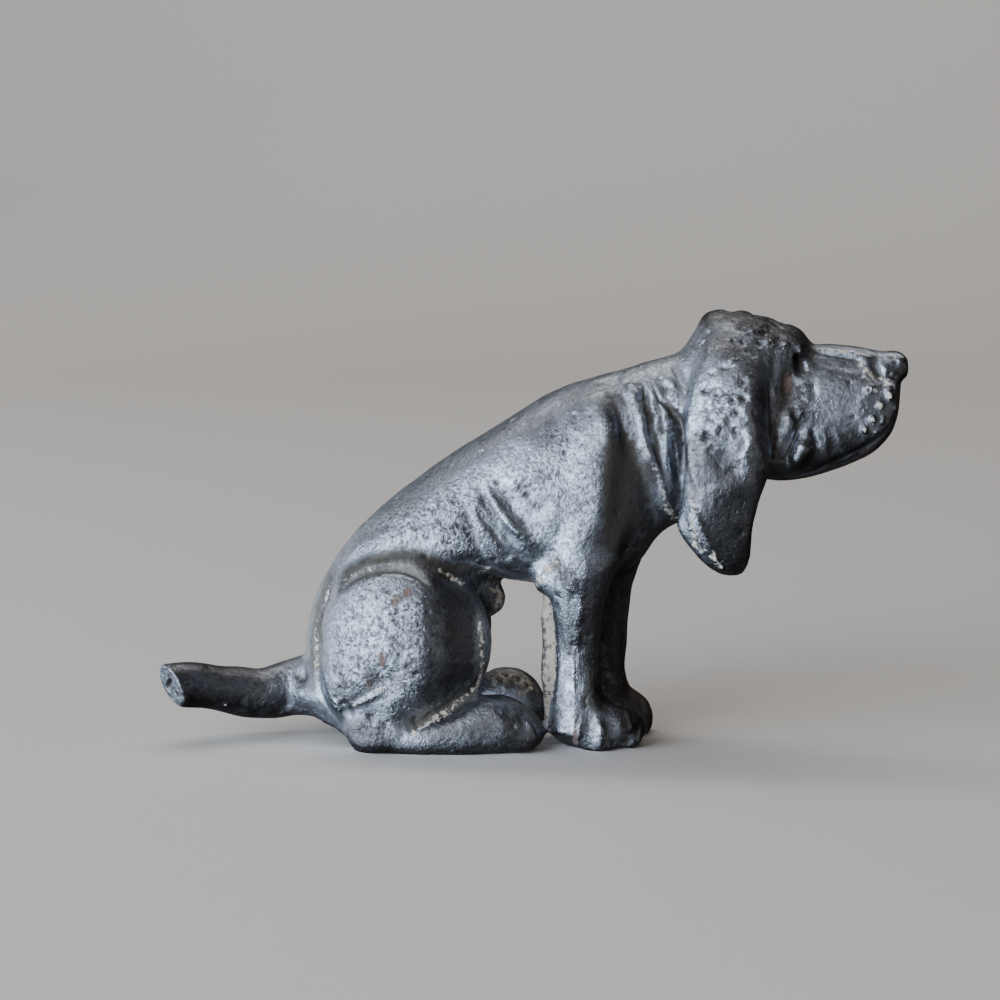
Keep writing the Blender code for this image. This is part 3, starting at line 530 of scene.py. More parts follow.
class HoundCasting(bpy.types.PropertyGroup):
    """Sizes of the fine modelling."""

    grain: FloatProperty(
        name="Grain", description="Spacing of the points that the fine skin is modelled in",
        default=0.20 * MM, min=0.05 * MM, unit="LENGTH", precision=5,
    )
    softening: IntProperty(
        name="Softening", description="Rounds of smoothing that rub away the steps of the remeshing",
        default=12, min=0, max=60,
    )
    fold_depth: FloatProperty(
        name="Fold depth", description="Depth of the pressed folds, as a share of their drawn depth",
        default=1.0, min=0.0, max=2.0,
    )
    triangles: IntProperty(
        name="Triangles", description="Triangles left in the finished skin",
        default=190000, min=20000, max=199000,
    )
    lump_height: FloatProperty(
        name="Lump height", description="Height of the broad unevenness left by the modeller's hand",
        default=0.16 * MM, min=0.0, unit="LENGTH", precision=5,
    )
    lump_size: FloatProperty(
        name="Lump size", description="Breadth of the broad unevenness",
        default=3.2 * MM, min=0.5 * MM, unit="LENGTH", precision=5,
    )
    dent_depth: FloatProperty(
        name="Dent depth", description="Depth of the small dents of the worn casting",
        default=0.080 * MM, min=0.0, unit="LENGTH", precision=5,
    )
    dent_size: FloatProperty(
        name="Dent size", description="Breadth of the small dents",
        default=0.9 * MM, min=0.2 * MM, unit="LENGTH", precision=5,
    )
    pits: IntProperty(
        name="Pits", description="Number of casting pits scattered over the figure",
        default=420, min=0, max=2000,
    )
    blows: IntProperty(
        name="Hammer blows", description="Number of shallow dents scattered over the hammered parts",
        default=320, min=0, max=2000,
    )
    seed: IntProperty(name="Seed", description="Start of the scatter of the pits", default=7, min=0)


class HoundFinish(bpy.types.PropertyGroup):
    """Colours of the worn pewter."""

    bright: FloatVectorProperty(
        name="Bright metal", description="Colour of rubbed pewter", subtype="COLOR",
        default=(0.47, 0.51, 0.585), min=0, max=1,
    )
    # This dark metal is laid both as patina and as painted shade
    tarnished_and_shaded: FloatVectorProperty(
        name="Tarnished metal", description="Colour of the dark patina", subtype="COLOR",
        default=(0.095, 0.092, 0.094), min=0, max=1,
    )
    # This dark brown is laid both as dirt and as painted shade
    grime_and_shade: FloatVectorProperty(
        name="Grime", description="Colour of the dirt in the hollows", subtype="COLOR",
        default=(0.040, 0.032, 0.023), min=0, max=1,
    )
    chalk: FloatVectorProperty(
        name="Chalk", description="Colour of the pale crust", subtype="COLOR",
        default=(0.62, 0.55, 0.46), min=0, max=1,
    )
    dust: FloatVectorProperty(
        name="Dust", description="Colour of the dull film", subtype="COLOR",
        default=(0.150, 0.138, 0.122), min=0, max=1,
    )
    rust: FloatVectorProperty(
        name="Rust", description="Colour of the reddish brown stains", subtype="COLOR",
        default=(0.16, 0.105, 0.085), min=0, max=1,
    )


class HoundStage(bpy.types.PropertyGroup):
    """The floor, the light and the camera."""

    floor_colour: FloatVectorProperty(
        name="Floor", description="Colour of the floor and backdrop", subtype="COLOR",
        default=(0.70, 0.66, 0.62), min=0, max=1,
    )
    window_power: FloatProperty(
        name="Window power", description="Light from the big soft window on the left", default=14.8,
        min=0.0, unit="POWER",
    )
    wall_power: FloatProperty(
        name="Wall power", description="Light from behind on the left", default=1.3,
        min=0.0, unit="POWER",
    )
    ceiling_power: FloatProperty(
        name="Ceiling power", description="Light from above", default=2.0, min=0.0, unit="POWER",
    )
    front_power: FloatProperty(
        name="Front power", description="Weak light from above the camera", default=1.6,
        min=0.0, unit="POWER",
    )
    backdrop_power: FloatProperty(
        name="Backdrop power", description="Light on the backdrop alone", default=14.0,
        min=0.0, unit="POWER",
    )
    right_power: FloatProperty(
        name="Right power", description="Weak light from low on the right", default=0.22,
        min=0.0, unit="POWER",
    )
    room_strength: FloatProperty(
        name="Room strength", description="Strength of the dim light from all round", default=0.024,
        min=0.0,
    )
    lens: FloatProperty(name="Lens", description="Focal length in millimetres", default=90.0, min=10.0)
    camera_place: FloatVectorProperty(
        name="Camera place", description="Where the camera stands", subtype="TRANSLATION",
        default=(19.75 * MM, -265.0 * MM, 56.07 * MM),
    )
    camera_tilt: FloatProperty(
        name="Camera tilt", description="How far the camera looks down", subtype="ANGLE",
        default=math.radians(6.5),
    )
    camera_turn: FloatProperty(
        name="Camera turn", description="How far the camera is turned to its left", subtype="ANGLE",
        default=math.radians(5.0),
    )


SHARP_RIM = math.radians(52)  # edges of the solid that turn by more than this stay sharp


# Helpers for objects and modifiers
def only(obj):
    """Selects obj alone and makes it the active one."""
    bpy.ops.object.select_all(action="DESELECT")
    obj.hide_set(False)
    obj.select_set(True)
    bpy.context.view_layer.objects.active = obj


def finish_with(obj, kind, **settings):
    """Adds a modifier to obj and applies it."""
    only(obj)
    modifier = obj.modifiers.new(kind.title(), kind)
    for name, value in settings.items():
        setattr(modifier, name, value)
    bpy.ops.object.modifier_apply(modifier=modifier.name)


def ease_facets(piece, levels):
    """Subdivides the solid's facets away, with the eased skin still passing through its points.

    Sharp rims, such as those of the soles and of the broken tail, stay sharp.
    """
    mesh = piece.data
    wanted = per_point(mesh, "co")
    only(piece)
    bpy.ops.object.mode_set(mode="EDIT")
    bpy.ops.mesh.select_mode(type="EDGE")
    bpy.ops.mesh.select_all(action="DESELECT")
    bpy.ops.mesh.edges_select_sharp(sharpness=SHARP_RIM)
    bpy.ops.transform.edge_crease(value=1.0)
    bpy.ops.object.mode_set(mode="OBJECT")
    modifier = piece.modifiers.new("Ease", "SUBSURF")
    modifier.levels = levels
    for _ in range(3):
        eased = piece.evaluated_get(bpy.context.evaluated_depsgraph_get()).data
        shrunk = per_point(eased, "co")[:len(wanted)]
        set_places(mesh, per_point(mesh, "co") + wanted - shrunk)
    bpy.ops.object.modifier_apply(modifier=modifier.name)


def copied_node(name, piece_name):
    """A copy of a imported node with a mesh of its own, whose loose triangles are merged."""
    only(frame["nodes"][name])
    bpy.ops.object.duplicate()
    piece = bpy.context.view_layer.objects.active
    piece.name = piece_name
    piece.data.name = piece_name
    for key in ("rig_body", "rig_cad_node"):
        if key in piece:
            del piece[key]
    piece.parent = None
    bpy.ops.object.mode_set(mode="EDIT")
    bpy.ops.mesh.select_all(action="SELECT")
    bpy.ops.mesh.remove_doubles(threshold=0.001 * MM)
    bpy.ops.object.mode_set(mode="OBJECT")
    return piece


# Helpers for modelling the skin
SHARE_EASED = 0.5  # how far one round of smoothing moves a point towards its neighbours
SHARE_SWOLLEN = -0.52  # and how far the round after it moves it back, so that the form doesn't shrink
FIRST_EASING = 8  # rounds of plain smoothing after the remeshing
RUBBING = 50  # rounds of smoothing along a rubbed stroke

# The hammer blows and the casting pits, in drawn millimetres
BLOW_RADII = (0.26, 0.55)
BLOW_DEPTHS = (0.07, 0.18)
PIT_RADII = (0.18, 0.38)
PIT_DEPTHS = (0.05, 0.16)


def per_point(mesh, attribute):
    values = np.empty(len(mesh.vertices) * 3)
    mesh.vertices.foreach_get(attribute, values)
    return values.reshape(-1, 3)


def set_places(mesh, places):
    mesh.vertices.foreach_set("co", places.ravel())
    mesh.update()


def skin_tree(piece):
    bpy.context.view_layer.update()
    return BVHTree.FromObject(piece, bpy.context.evaluated_depsgraph_get())


def curve_through(points, step):
    """Places no more than about a step apart on a smooth curve through the points."""
    knots = np.array(points, float)
    if len(knots) == 1:
        return knots
    padded = np.vstack([2 * knots[0] - knots[1], knots, 2 * knots[-1] - knots[-2]])
    run = []
    for a, b, c, d in zip(padded, padded[1:], padded[2:], padded[3:]):
        steps = max(1, round(math.dist(b, c) / step))
        for t in np.arange(steps) / steps:
            run.append(
                0.5 * (2 * b + (c - a) * t + (2 * a - 5 * b + 4 * c - d) * t**2
                       + (3 * b - a - 3 * c + d) * t**3)
            )
    run.append(knots[-1])
    return np.array(run)


STROKE_STEP = 0.12  # drawn millimetres between the places of a stroke on the skin
STROKE_TAPER = 3.5  # how steeply a narrow stroke fades out at its ends
BROAD_STROKE = 1.05  # from this half width on, in drawn millimetres, a stroke ends round


def lay_on_skin(tree, points, side, shift):
    """The curve through the points, in metres, laid on the skin of one side."""
    laid = []
    for point in curve_through(points, STROKE_STEP):
        if len(point) == 2:
            start = Vector((point[0] + shift, side * DRAWN_LENGTH, point[1])) * MM
            place = tree.ray_cast(start, Vector((0, -side, 0)))[0]
        else:
            x, y, z = point
            place = tree.find_nearest(Vector((x + shift, -side * y, z)) * MM)[0]
        if place is not None:
            laid.append(place)
    return np.array(laid)


def nearness(places, laid, width):
    """Which places are near the laid ones, and how near: 1 on the stroke, fading over its width.

    The third result says how far along the stroke each of them is, from 0 to 1.
    """
    reach = 2.6 * width
    inside = np.all((places > laid.min(axis=0) - reach) & (places < laid.max(axis=0) + reach), axis=1)
    near = np.flatnonzero(inside)
    gaps = np.linalg.norm(places[near, None] - laid[None], axis=2)
    along = gaps.argmin(axis=1) / max(1, len(laid) - 1)
    return near, np.exp(-((gaps.min(axis=1) / width) ** 2)), along


def press(piece, strokes, side, shift=0.0, share=1.0):
    """Moves the skin of one side in or out along the strokes."""
    mesh = piece.data
    tree = skin_tree(piece)
    places = per_point(mesh, "co")
    push = np.zeros(len(places))
    for height, width, points in strokes:
        laid = lay_on_skin(tree, points, side, shift)
        near, close, along = nearness(places, laid, width * MM)
        if len(laid) > 1 and width < BROAD_STROKE:
            close *= np.clip(STROKE_TAPER * np.minimum(along, 1 - along) + 0.2, 0, 1)
        push[near] += share * height * MM * close
    set_places(mesh, places + per_point(mesh, "normal") * push[:, None])


def dot(piece, marks, side):
    """Raises small bumps and sinks small pits, each at its own place."""
    dots = [(height, radius, [place]) for height, radius, marked in marks for place in marked]
    press(piece, dots, side)


def unevenness(places, size, start):
    """A smooth random value from about -1 to 1 at each place, with features of the given size."""
    offset = Vector((start, start * 1.7, start * 2.3))
    return np.array([noise.noise(Vector(place) + offset) for place in places / size])


def scatter_dents(piece, count, radii, depths, seed, likely):
    """Round dents at random points of the skin, more of them where likely is greater."""
    mesh = piece.data
    places = per_point(mesh, "co")
    random = np.random.default_rng(seed)
    push = np.zeros(len(places))
    centres = places[random.choice(len(places), count, p=likely / likely.sum())]
    for centre in centres:
        near, close, _ = nearness(places, centre[None], random.uniform(*radii) * MM)
        push[near] -= random.uniform(*depths) * MM * close
    set_places(mesh, places + per_point(mesh, "normal") * push[:, None])


def painted(piece, strokes, sides=(RIGHT, LEFT)):
    """The greatest amount that any stroke leaves at each point of the skin."""
    tree = skin_tree(piece)
    places = per_point(piece.data, "co")
    amounts = np.zeros(len(places))
    for amount, radius, points in strokes:
        for side in sides:
            laid = lay_on_skin(tree, points, side, 0.0)
            if len(laid):
                near, close, _ = nearness(places, laid, radius * MM)
                amounts[near] = np.maximum(amounts[near], amount * close)
    return amounts


def keep_attribute(mesh, name, values):
    attribute = mesh.attributes.get(name) or mesh.attributes.new(name, "FLOAT", "POINT")
    attribute.data.foreach_set("value", values.astype(np.float32))


def eased_places(mesh, shares, where=1.0):
    """The points' places after each is moved towards its neighbours by one share after another."""
    edges = np.empty(len(mesh.edges) * 2, dtype=np.int64)
    mesh.edges.foreach_get("vertices", edges)
    here, there = edges.reshape(-1, 2).T
    count = len(mesh.vertices)
    neighbours = np.bincount(np.concatenate([here, there]), minlength=count)[:, None]
    places = per_point(mesh, "co")
    for share in shares:
        total = np.empty_like(places)
        for axis in range(3):
            column = places[:, axis]
            total[:, axis] = np.bincount(here, column[there], count)
            total[:, axis] += np.bincount(there, column[here], count)
        places = places + where * share * (total / neighbours - places)
    return places


def snap_to(piece, tree):
    """Moves each point of the piece to the nearest place on the tree's skin."""
    nearest = [tree.find_nearest(place)[0] for place in per_point(piece.data, "co")]
    set_places(piece.data, np.array(nearest))


def rub(piece, strokes, sides):
    """Smooths the skin along the strokes, each written as (share, half width, points)."""
    where = np.clip(painted(piece, strokes, sides), 0, 1)
    set_places(piece.data, eased_places(piece.data, [SHARE_EASED] * RUBBING, where[:, None]))


def hollowness(mesh, rounds, depth):
    """How far each point lies below the eased skin, in shares of depth: ridges are below nought."""
    rise = eased_places(mesh, [SHARE_EASED] * rounds) - per_point(mesh, "co")
    return (rise * per_point(mesh, "normal")).sum(axis=1) / depth


# The broken end of the tail
BREAK_START = -35.0  # the face lies behind this, in drawn millimetres
BREAK_FACING = (-0.70, -0.61, -0.37)


def broken_face(mesh):
    """How squarely each point's skin faces as the broken end of the tail does, from 0 to 1."""
    facing = np.array(Vector(BREAK_FACING).normalized())
    square = np.clip((per_point(mesh, "normal") @ facing - 0.80) / 0.15, 0, 1)
    return square * (per_point(mesh, "co")[:, 0] < BREAK_START * MM)


def roughen_break(piece):
    """Gives the broken face of the tail its coarse grain."""
    mesh = piece.data
    places = per_point(mesh, "co")
    face = broken_face(mesh)
    on_face = np.flatnonzero(face)
    grain = 0.6 * unevenness(places[on_face], 0.5 * MM, 3.0)
    grain += unevenness(places[on_face], 1.6 * MM, 8.0)
    facing = np.array(Vector(BREAK_FACING).normalized())
    places[on_face] += facing * (0.12 * MM * grain * face[on_face])[:, None]
    set_places(mesh, places)


def worn_surface(piece, casting):
    """Broad unevenness of the hand, and small dents that are deepest where the skin is pitted."""
    mesh = piece.data
    places = per_point(mesh, "co")
    lumps = unevenness(places, casting.lump_size, 1.0) * casting.lump_height
    dents = unevenness(places, casting.dent_size, 4.0)
    dents += 0.6 * unevenness(places, 0.55 * casting.dent_size, 6.0)
    pitted = painted(piece, PITTED)
    dents *= casting.dent_depth * (0.12 + 2.0 * pitted**3)
    set_places(mesh, places + per_point(mesh, "normal") * (lumps + dents)[:, None])


def stand_on_soles(piece):
    """Presses level what reaches below the floor."""
    places = per_point(piece.data, "co")
    places[:, 2] = np.maximum(places[:, 2], 0.0)
    set_places(piece.data, places)


# Shader nodes
def add_node(tree, kind, inputs=None, **settings):
    """A new node with its settings made and its inputs set to values or linked to sockets."""
    made = tree.nodes.new(kind)
    for name, value in settings.items():
        setattr(made, name, value)
    for name, value in (inputs or {}).items():
        if isinstance(value, bpy.types.NodeSocket):
            tree.links.new(value, made.inputs[name])
        else:
            made.inputs[name].default_value = value
    return made


def math_node(tree, operation, first, second, clamp=False):
    inputs = {0: first, 1: second}
    return add_node(tree, "ShaderNodeMath", inputs, operation=operation, use_clamp=clamp).outputs[0]


def ranged(tree, value, low, high, to_low=0.0, to_high=1.0, kind="SMOOTHSTEP"):
    inputs = {"Value": value, "From Min": low, "From Max": high, "To Min": to_low, "To Max": to_high}
    return add_node(tree, "ShaderNodeMapRange", inputs, interpolation_type=kind).outputs["Result"]


def mixed(tree, factor, first, second):
    made = add_node(tree, "ShaderNodeMix", {0: factor}, data_type="RGBA")
    for index, value in ((6, first), (7, second)):
        if isinstance(value, bpy.types.NodeSocket):
            tree.links.new(value, made.inputs[index])
        else:
            made.inputs[index].default_value = value
    return made.outputs[2]


def new_group(name, inputs, outputs):
    """An empty node group with its named sockets, and its two end nodes."""
    group = bpy.data.node_groups.new(name, "ShaderNodeTree")
    for label, kind, default in inputs:
        socket = group.interface.new_socket(label, in_out="INPUT", socket_type=kind)
        if default is not None:
            socket.default_value = default
    for label, kind in outputs:
        group.interface.new_socket(label, in_out="OUTPUT", socket_type=kind)
    return group, group.nodes.new("NodeGroupInput").outputs, group.nodes.new("NodeGroupOutput").inputs


FLOAT = "NodeSocketFloat"
VECTOR = "NodeSocketVector"


def ragged_patch_group():
    """Turns a painted amount into a patch with a ragged, broken edge."""
    group, given, out = new_group(
        "Ragged patch",
        [("Place", VECTOR, None), ("Amount", FLOAT, 0.0), ("Fineness", FLOAT, 2000.0),
         ("Raggedness", FLOAT, 0.8), ("Softness", FLOAT, 0.12)],
        [("Mask", FLOAT)],
    )
    grain = add_node(
        group, "ShaderNodeTexNoise",
        {"Vector": given["Place"], "Scale": given["Fineness"], "Detail": 5.0, "Roughness": 0.65},
    ).outputs[0]
    centred = math_node(group, "SUBTRACT", grain, 0.5)
    swing = math_node(group, "MULTIPLY", centred, given["Raggedness"])
    total = math_node(group, "ADD", swing, given["Amount"])
    low = math_node(group, "SUBTRACT", 0.5, given["Softness"])
    high = math_node(group, "ADD", 0.5, given["Softness"])
    group.links.new(ranged(group, total, low, high), out["Mask"])
    return group


def casting_skin_group():
    """The fine texture of worn cast metal: a height for the bump, and where pits and blotches lie."""
    group, given, out = new_group(
        "Casting skin",
        [("Place", VECTOR, None), ("Streaked", FLOAT, 0.0)],
        [("Height", FLOAT), ("Pits", FLOAT), ("Blotches", FLOAT), ("Grain", FLOAT), ("Mottle", FLOAT)],
    )

    def cloud(scale, detail, roughness, distortion=0.0, place=given["Place"]):
        inputs = {
            "Vector": place, "Scale": scale, "Detail": detail,
            "Roughness": roughness, "Distortion": distortion,
        }
        return add_node(group, "ShaderNodeTexNoise", inputs)

    def scaled(place, factors, moved=(0.0, 0.0, 0.0)):
        inputs = {0: place, 1: factors, 2: moved}
        return add_node(group, "ShaderNodeVectorMath", inputs, operation="MULTIPLY_ADD").outputs[0]

    wavering = scaled(cloud(1500.0, 2.0, 0.5).outputs["Color"], (0.0009, 0.0009, 0.0009), given["Place"])
    cell_inputs = {"Vector": wavering, "Scale": 1350.0}
    cells = add_node(group, "ShaderNodeTexVoronoi", cell_inputs, feature="F1").outputs
    crowding = ranged(group, cloud(480.0, 3.0, 0.6).outputs[0], 0.36, 0.64, 0.12, 0.46)
    size = math_node(group, "MULTIPLY", cells["Color"], crowding)
    pits = ranged(group, math_node(group, "SUBTRACT", cells["Distance"], size), 0.02, 0.16, 1.0, 0.0)
    blotches = ranged(group, cloud(1250.0, 5.0, 0.70, 0.3).outputs[0], 0.45, 0.57)
    streaks = cloud(1500.0, 3.0, 0.5, 0.4, scaled(given["Place"], (1.0, 1.0, 0.16))).outputs[0]
    waves = math_node(group, "MULTIPLY", cloud(1050.0, 3.0, 0.5).outputs[0], 0.9)
    grain = cloud(2900.0, 4.0, 0.65).outputs[0]
    streaking = math_node(group, "MULTIPLY", given["Streaked"], 1.8)
    drawn_out = math_node(group, "MULTIPLY", streaks, streaking)
    rough = math_node(group, "MULTIPLY", grain, 1.10)
    even = math_node(group, "ADD", math_node(group, "ADD", waves, rough), drawn_out)
    sunk = math_node(group, "MULTIPLY", pits, 0.30)
    made = {
        "Height": math_node(group, "SUBTRACT", even, sunk),
        "Pits": pits,
        "Blotches": blotches,
        "Grain": ranged(group, grain, 0.44, 0.58),
        "Mottle": ranged(group, cloud(230.0, 8.0, 0.70, 0.4).outputs[0], 0.34, 0.66),
    }
    for name, value in made.items():
        group.links.new(value, out[name])
    return group


def attribute_value(tree, name):
    return add_node(tree, "ShaderNodeAttribute", attribute_name=name).outputs["Fac"]


def pewter_material(finish):
    """Worn pewter: bright where it is rubbed, dark with patina elsewhere, with soiling in its hollows, and
    painted shade in its creases and on its shaded parts.
    """
    material = bpy.data.materials.new("pewter")
    material.use_nodes = True
    tree = material.node_tree
    tree.nodes.clear()
    place = add_node(tree, "ShaderNodeTexCoord").outputs["Object"]
    patch = ragged_patch_group()
    skin_inputs = {"Place": place, "Streaked": attribute_value(tree, "streaked")}
    skin = add_node(tree, "ShaderNodeGroup", skin_inputs, node_tree=casting_skin_group())

    def mask(amount, fineness, raggedness, softness=0.12):
        inputs = {
            "Place": place, "Amount": amount, "Fineness": fineness,
            "Raggedness": raggedness, "Softness": softness,
        }
        return add_node(tree, "ShaderNodeGroup", inputs, node_tree=patch).outputs["Mask"]

    def share(value, part):
        return math_node(tree, "MULTIPLY", value, part)

    def both(first, second):
        return math_node(tree, "ADD", first, second)

    def most(first, second):
        return math_node(tree, "MAXIMUM", first, second)

    def colour(value):
        return (*value, 1.0)

    hollow = attribute_value(tree, "hollow")
    # Depth in the hollows: there the metal is darkened and dulled and dark brown is laid, partly as patina
    # and dirt and partly as painted shade in the creases, and a little dust is laid too
    sunk = ranged(tree, hollow, 0.1, 1.6)
    pitted = attribute_value(tree, "pitted")
    # The broken face of the tail keeps less patina and so looks lighter: partly fresh metal, partly a
    # painted highlight for the light it catches
    bare_and_lit = attribute_value(tree, "bare_and_lit")
    pits = share(skin.outputs["Pits"], ranged(tree, pitted, 0.0, 0.7, 0.25, 0.90))
    speckled = both(share(skin.outputs["Blotches"], 0.55), share(skin.outputs["Grain"], 0.60))
    blotches = share(speckled, ranged(tree, pitted, 0.0, 0.7, 0.36, 0.72))
    # How dark the metal is: the painted patina, part of which is painted shade, with a mottle, the
    # hollows, the pits and the blotches
    clouded = both(attribute_value(tree, "tarnish_and_shade"), share(skin.outputs["Mottle"], 0.34))
    dulled = share(mask(both(clouded, share(sunk, 0.5)), 900.0, 0.7, 0.40), 0.9)
    worn = most(both(share(dulled, 0.75), blotches), both(dulled, share(pits, 0.3)))
    darkened = math_node(tree, "MAXIMUM", worn, pits, clamp=True)
    tarnish_and_shade = share(darkened, ranged(tree, bare_and_lit, 0.0, 1.0, 1.0, 0.25))
    dust = share(mask(both(attribute_value(tree, "dust"), share(sunk, 0.22)), 1300.0, 1.1, 0.30), 0.75)
    # Dark brown film, both dirt and painted shade, which also takes away the shine of the metal
    grime_and_shade = share(mask(both(attribute_value(tree, "grime_and_shade"), share(sunk, 0.32)), 1500.0, 1.0, 0.25), 0.85)
    chalk = mask(attribute_value(tree, "chalk"), 1900.0, 2.0, 0.09)
    rust = mask(attribute_value(tree, "rust"), 2000.0, 1.2, 0.14)

    metal = mixed(tree, tarnish_and_shade, colour(finish.bright), colour(finish.tarnished_and_shaded))
    dusty = mixed(tree, dust, metal, colour(finish.dust))
    dirtied_and_shaded = mixed(tree, grime_and_shade, dusty, colour(finish.grime_and_shade))
    stained = mixed(tree, rust, dirtied_and_shaded, colour(finish.rust))
    crusted = mixed(tree, chalk, stained, colour(finish.chalk))

    # Where crust, stains, dirt, dust and painted shade lie, the metal shows less and is rougher
    soiled_and_shaded = most(most(most(chalk, share(rust, 0.8)), share(grime_and_shade, 0.8)), share(dust, 0.75))
    metallic = math_node(tree, "SUBTRACT", 1.0, soiled_and_shaded, clamp=True)
    rubbed = both(ranged(tree, hollow, -1.2, 0.3, 0.21, 0.33), share(bare_and_lit, 0.08))
    patchy = both(share(skin.outputs["Grain"], 0.10), share(skin.outputs["Blotches"], 0.08))
    roughness = both(both(both(rubbed, patchy), share(tarnish_and_shade, 0.08)), share(soiled_and_shaded, 0.24))

    relief = math_node(tree, "MULTIPLY", skin.outputs["Height"], ranged(tree, pitted, 0.0, 0.8, 0.62, 1.5))
    height = both(relief, share(chalk, 0.5))
    bump = add_node(tree, "ShaderNodeBump", {"Height": height, "Strength": 1.0, "Distance": 0.10 * MM})
    shader = add_node(
        tree, "ShaderNodeBsdfPrincipled",
        {"Base Color": crusted, "Metallic": metallic, "Roughness": roughness, "Normal": bump.outputs[0]},
    )
    output = add_node(tree, "ShaderNodeOutputMaterial")
    tree.links.new(shader.outputs[0], output.inputs["Surface"])
    return material


class HOUND_OT_cast(bpy.types.Operator):
    """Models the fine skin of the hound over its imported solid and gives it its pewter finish"""

    bl_idname = "hound.cast"
    bl_label = "Cast the hound"
    bl_options = {"REGISTER", "UNDO"}

    def execute(self, context):
        casting = context.scene.hound_casting
        hound = copied_node("hound", "pewter_hound")
        ease_facets(hound, 2)
        solid = skin_tree(hound)
        finish_with(hound, "REMESH", mode="VOXEL", voxel_size=casting.grain)
        snap_to(hound, solid)
        rounds = [SHARE_EASED] * FIRST_EASING + [SHARE_EASED, SHARE_SWOLLEN] * casting.softening
        set_places(hound.data, eased_places(hound.data, rounds))
        for side in (RIGHT, LEFT):
            press(hound, PLANES, side)
        for sides, strokes in RUBBED.items():
            rub(hound, strokes, sides)
        for side in (RIGHT, LEFT):
            press(hound, FOLDS, side, share=casting.fold_depth)
            dot(hound, WHISKER_ROOTS, side)
        press(hound, CROWN, RIGHT)
        roughen_break(hound)
        press(hound, FORE_TOES + HIND_TOES + TAIL, RIGHT)
        press(hound, FORE_TOES, LEFT, FAR_PAW_SHIFT)
        press(hound, HIND_TOES, LEFT, FAR_HIND_SHIFT)
        dot(hound, MARKS, RIGHT)
        worn_surface(hound, casting)
        hammered = painted(hound, HAMMERED)
        anywhere = np.ones(len(hammered))
        scatter_dents(hound, casting.blows, BLOW_RADII, BLOW_DEPTHS, casting.seed, hammered**2)
        scatter_dents(hound, casting.pits, PIT_RADII, PIT_DEPTHS, casting.seed, anywhere)
        stand_on_soles(hound)
        mesh = hound.data
        hollow = hollowness(mesh, 8, 0.05 * MM) + hollowness(mesh, 60, 0.30 * MM)
        keep_attribute(mesh, "hollow", hollow)
        finish_with(hound, "TRIANGULATE")
        finish_with(hound, "DECIMATE", ratio=casting.triangles / len(hound.data.polygons))
        for name, strokes in PAINTED.items():
            keep_attribute(hound.data, name, painted(hound, strokes))
        # The broken face, kept lighter: partly bare metal, partly painted highlight
        keep_attribute(hound.data, "bare_and_lit", broken_face(hound.data))
        only(hound)
        bpy.ops.object.shade_smooth()
        hound.data.materials.clear()
        hound.data.materials.append(pewter_material(context.scene.hound_finish))
        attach(hound, "root")
        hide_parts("hound")
        return {"FINISHED"}


# The stage, in metres
FLOOR_WIDTH = 8.0
FLOOR_NEAR = -4.0
FLOOR_FAR = 1.5
BACKDROP_HEIGHT = 2.2
BACKDROP_CURVE = 0.9
BACKDROP_SEGMENTS = 24
NEAR_ENOUGH = 0.01


def floor_material(colour):
    material = bpy.data.materials.new("floor")
    material.use_nodes = True
    shader = material.node_tree.nodes["Principled BSDF"]
    shader.inputs["Base Color"].default_value = (*colour, 1.0)
    shader.inputs["Roughness"].default_value = 0.7
    return material


def select_far_edge(floor):
    """Selects, in edit mode, the edge along which the floor meets the backdrop."""
    bpy.ops.object.mode_set(mode="OBJECT")
    for edge in floor.data.edges:
        ends = [floor.data.vertices[index].co for index in edge.vertices]
        edge.select = all(end.y > FLOOR_FAR - NEAR_ENOUGH and end.z < NEAR_ENOUGH for end in ends)
    bpy.ops.object.mode_set(mode="EDIT")


def build_floor(stage):
    """A floor that turns up into a backdrop in one long curve."""
    bpy.ops.object.select_all(action="DESELECT")
    bpy.ops.mesh.primitive_plane_add(size=1.0)
    floor = bpy.context.active_object
    floor.name = "floor"
    depth = FLOOR_FAR - FLOOR_NEAR
    for vertex in floor.data.vertices:
        vertex.co.x *= FLOOR_WIDTH
        vertex.co.y = FLOOR_NEAR + (vertex.co.y + 0.5) * depth
    bpy.ops.object.mode_set(mode="EDIT")
    bpy.ops.mesh.select_mode(type="EDGE")
    bpy.ops.mesh.select_all(action="DESELECT")
    select_far_edge(floor)
    bpy.ops.mesh.extrude_region_move(TRANSFORM_OT_translate={"value": (0, 0, BACKDROP_HEIGHT)})
    select_far_edge(floor)
    bpy.ops.mesh.bevel(offset=BACKDROP_CURVE, segments=BACKDROP_SEGMENTS)
    bpy.ops.object.mode_set(mode="OBJECT")
    bpy.ops.object.shade_smooth()
    floor.data.materials.append(floor_material(stage.floor_colour))
    # The lamps reach below the floor. The pewter neither mirrors the pale floor nor is lit by it nor
    # lies in its shade, so the undersides of the dog stay dark.
    floor.visible_glossy = False
    floor.visible_diffuse = False
    floor.visible_shadow = False


def soft_light(name, place, aim, size, power, colour):
    """A rectangular lamp that faces its aim."""
    bpy.ops.object.light_add(type="AREA", location=place)
    lamp = bpy.context.active_object
    lamp.name = name
    lamp.rotation_mode = "QUATERNION"
    lamp.rotation_quaternion = (Vector(aim) - Vector(place)).to_track_quat("-Z", "Y")
    lamp.data.shape = "RECTANGLE"
    lamp.data.size, lamp.data.size_y = size
    lamp.data.energy = power
    lamp.data.color = colour


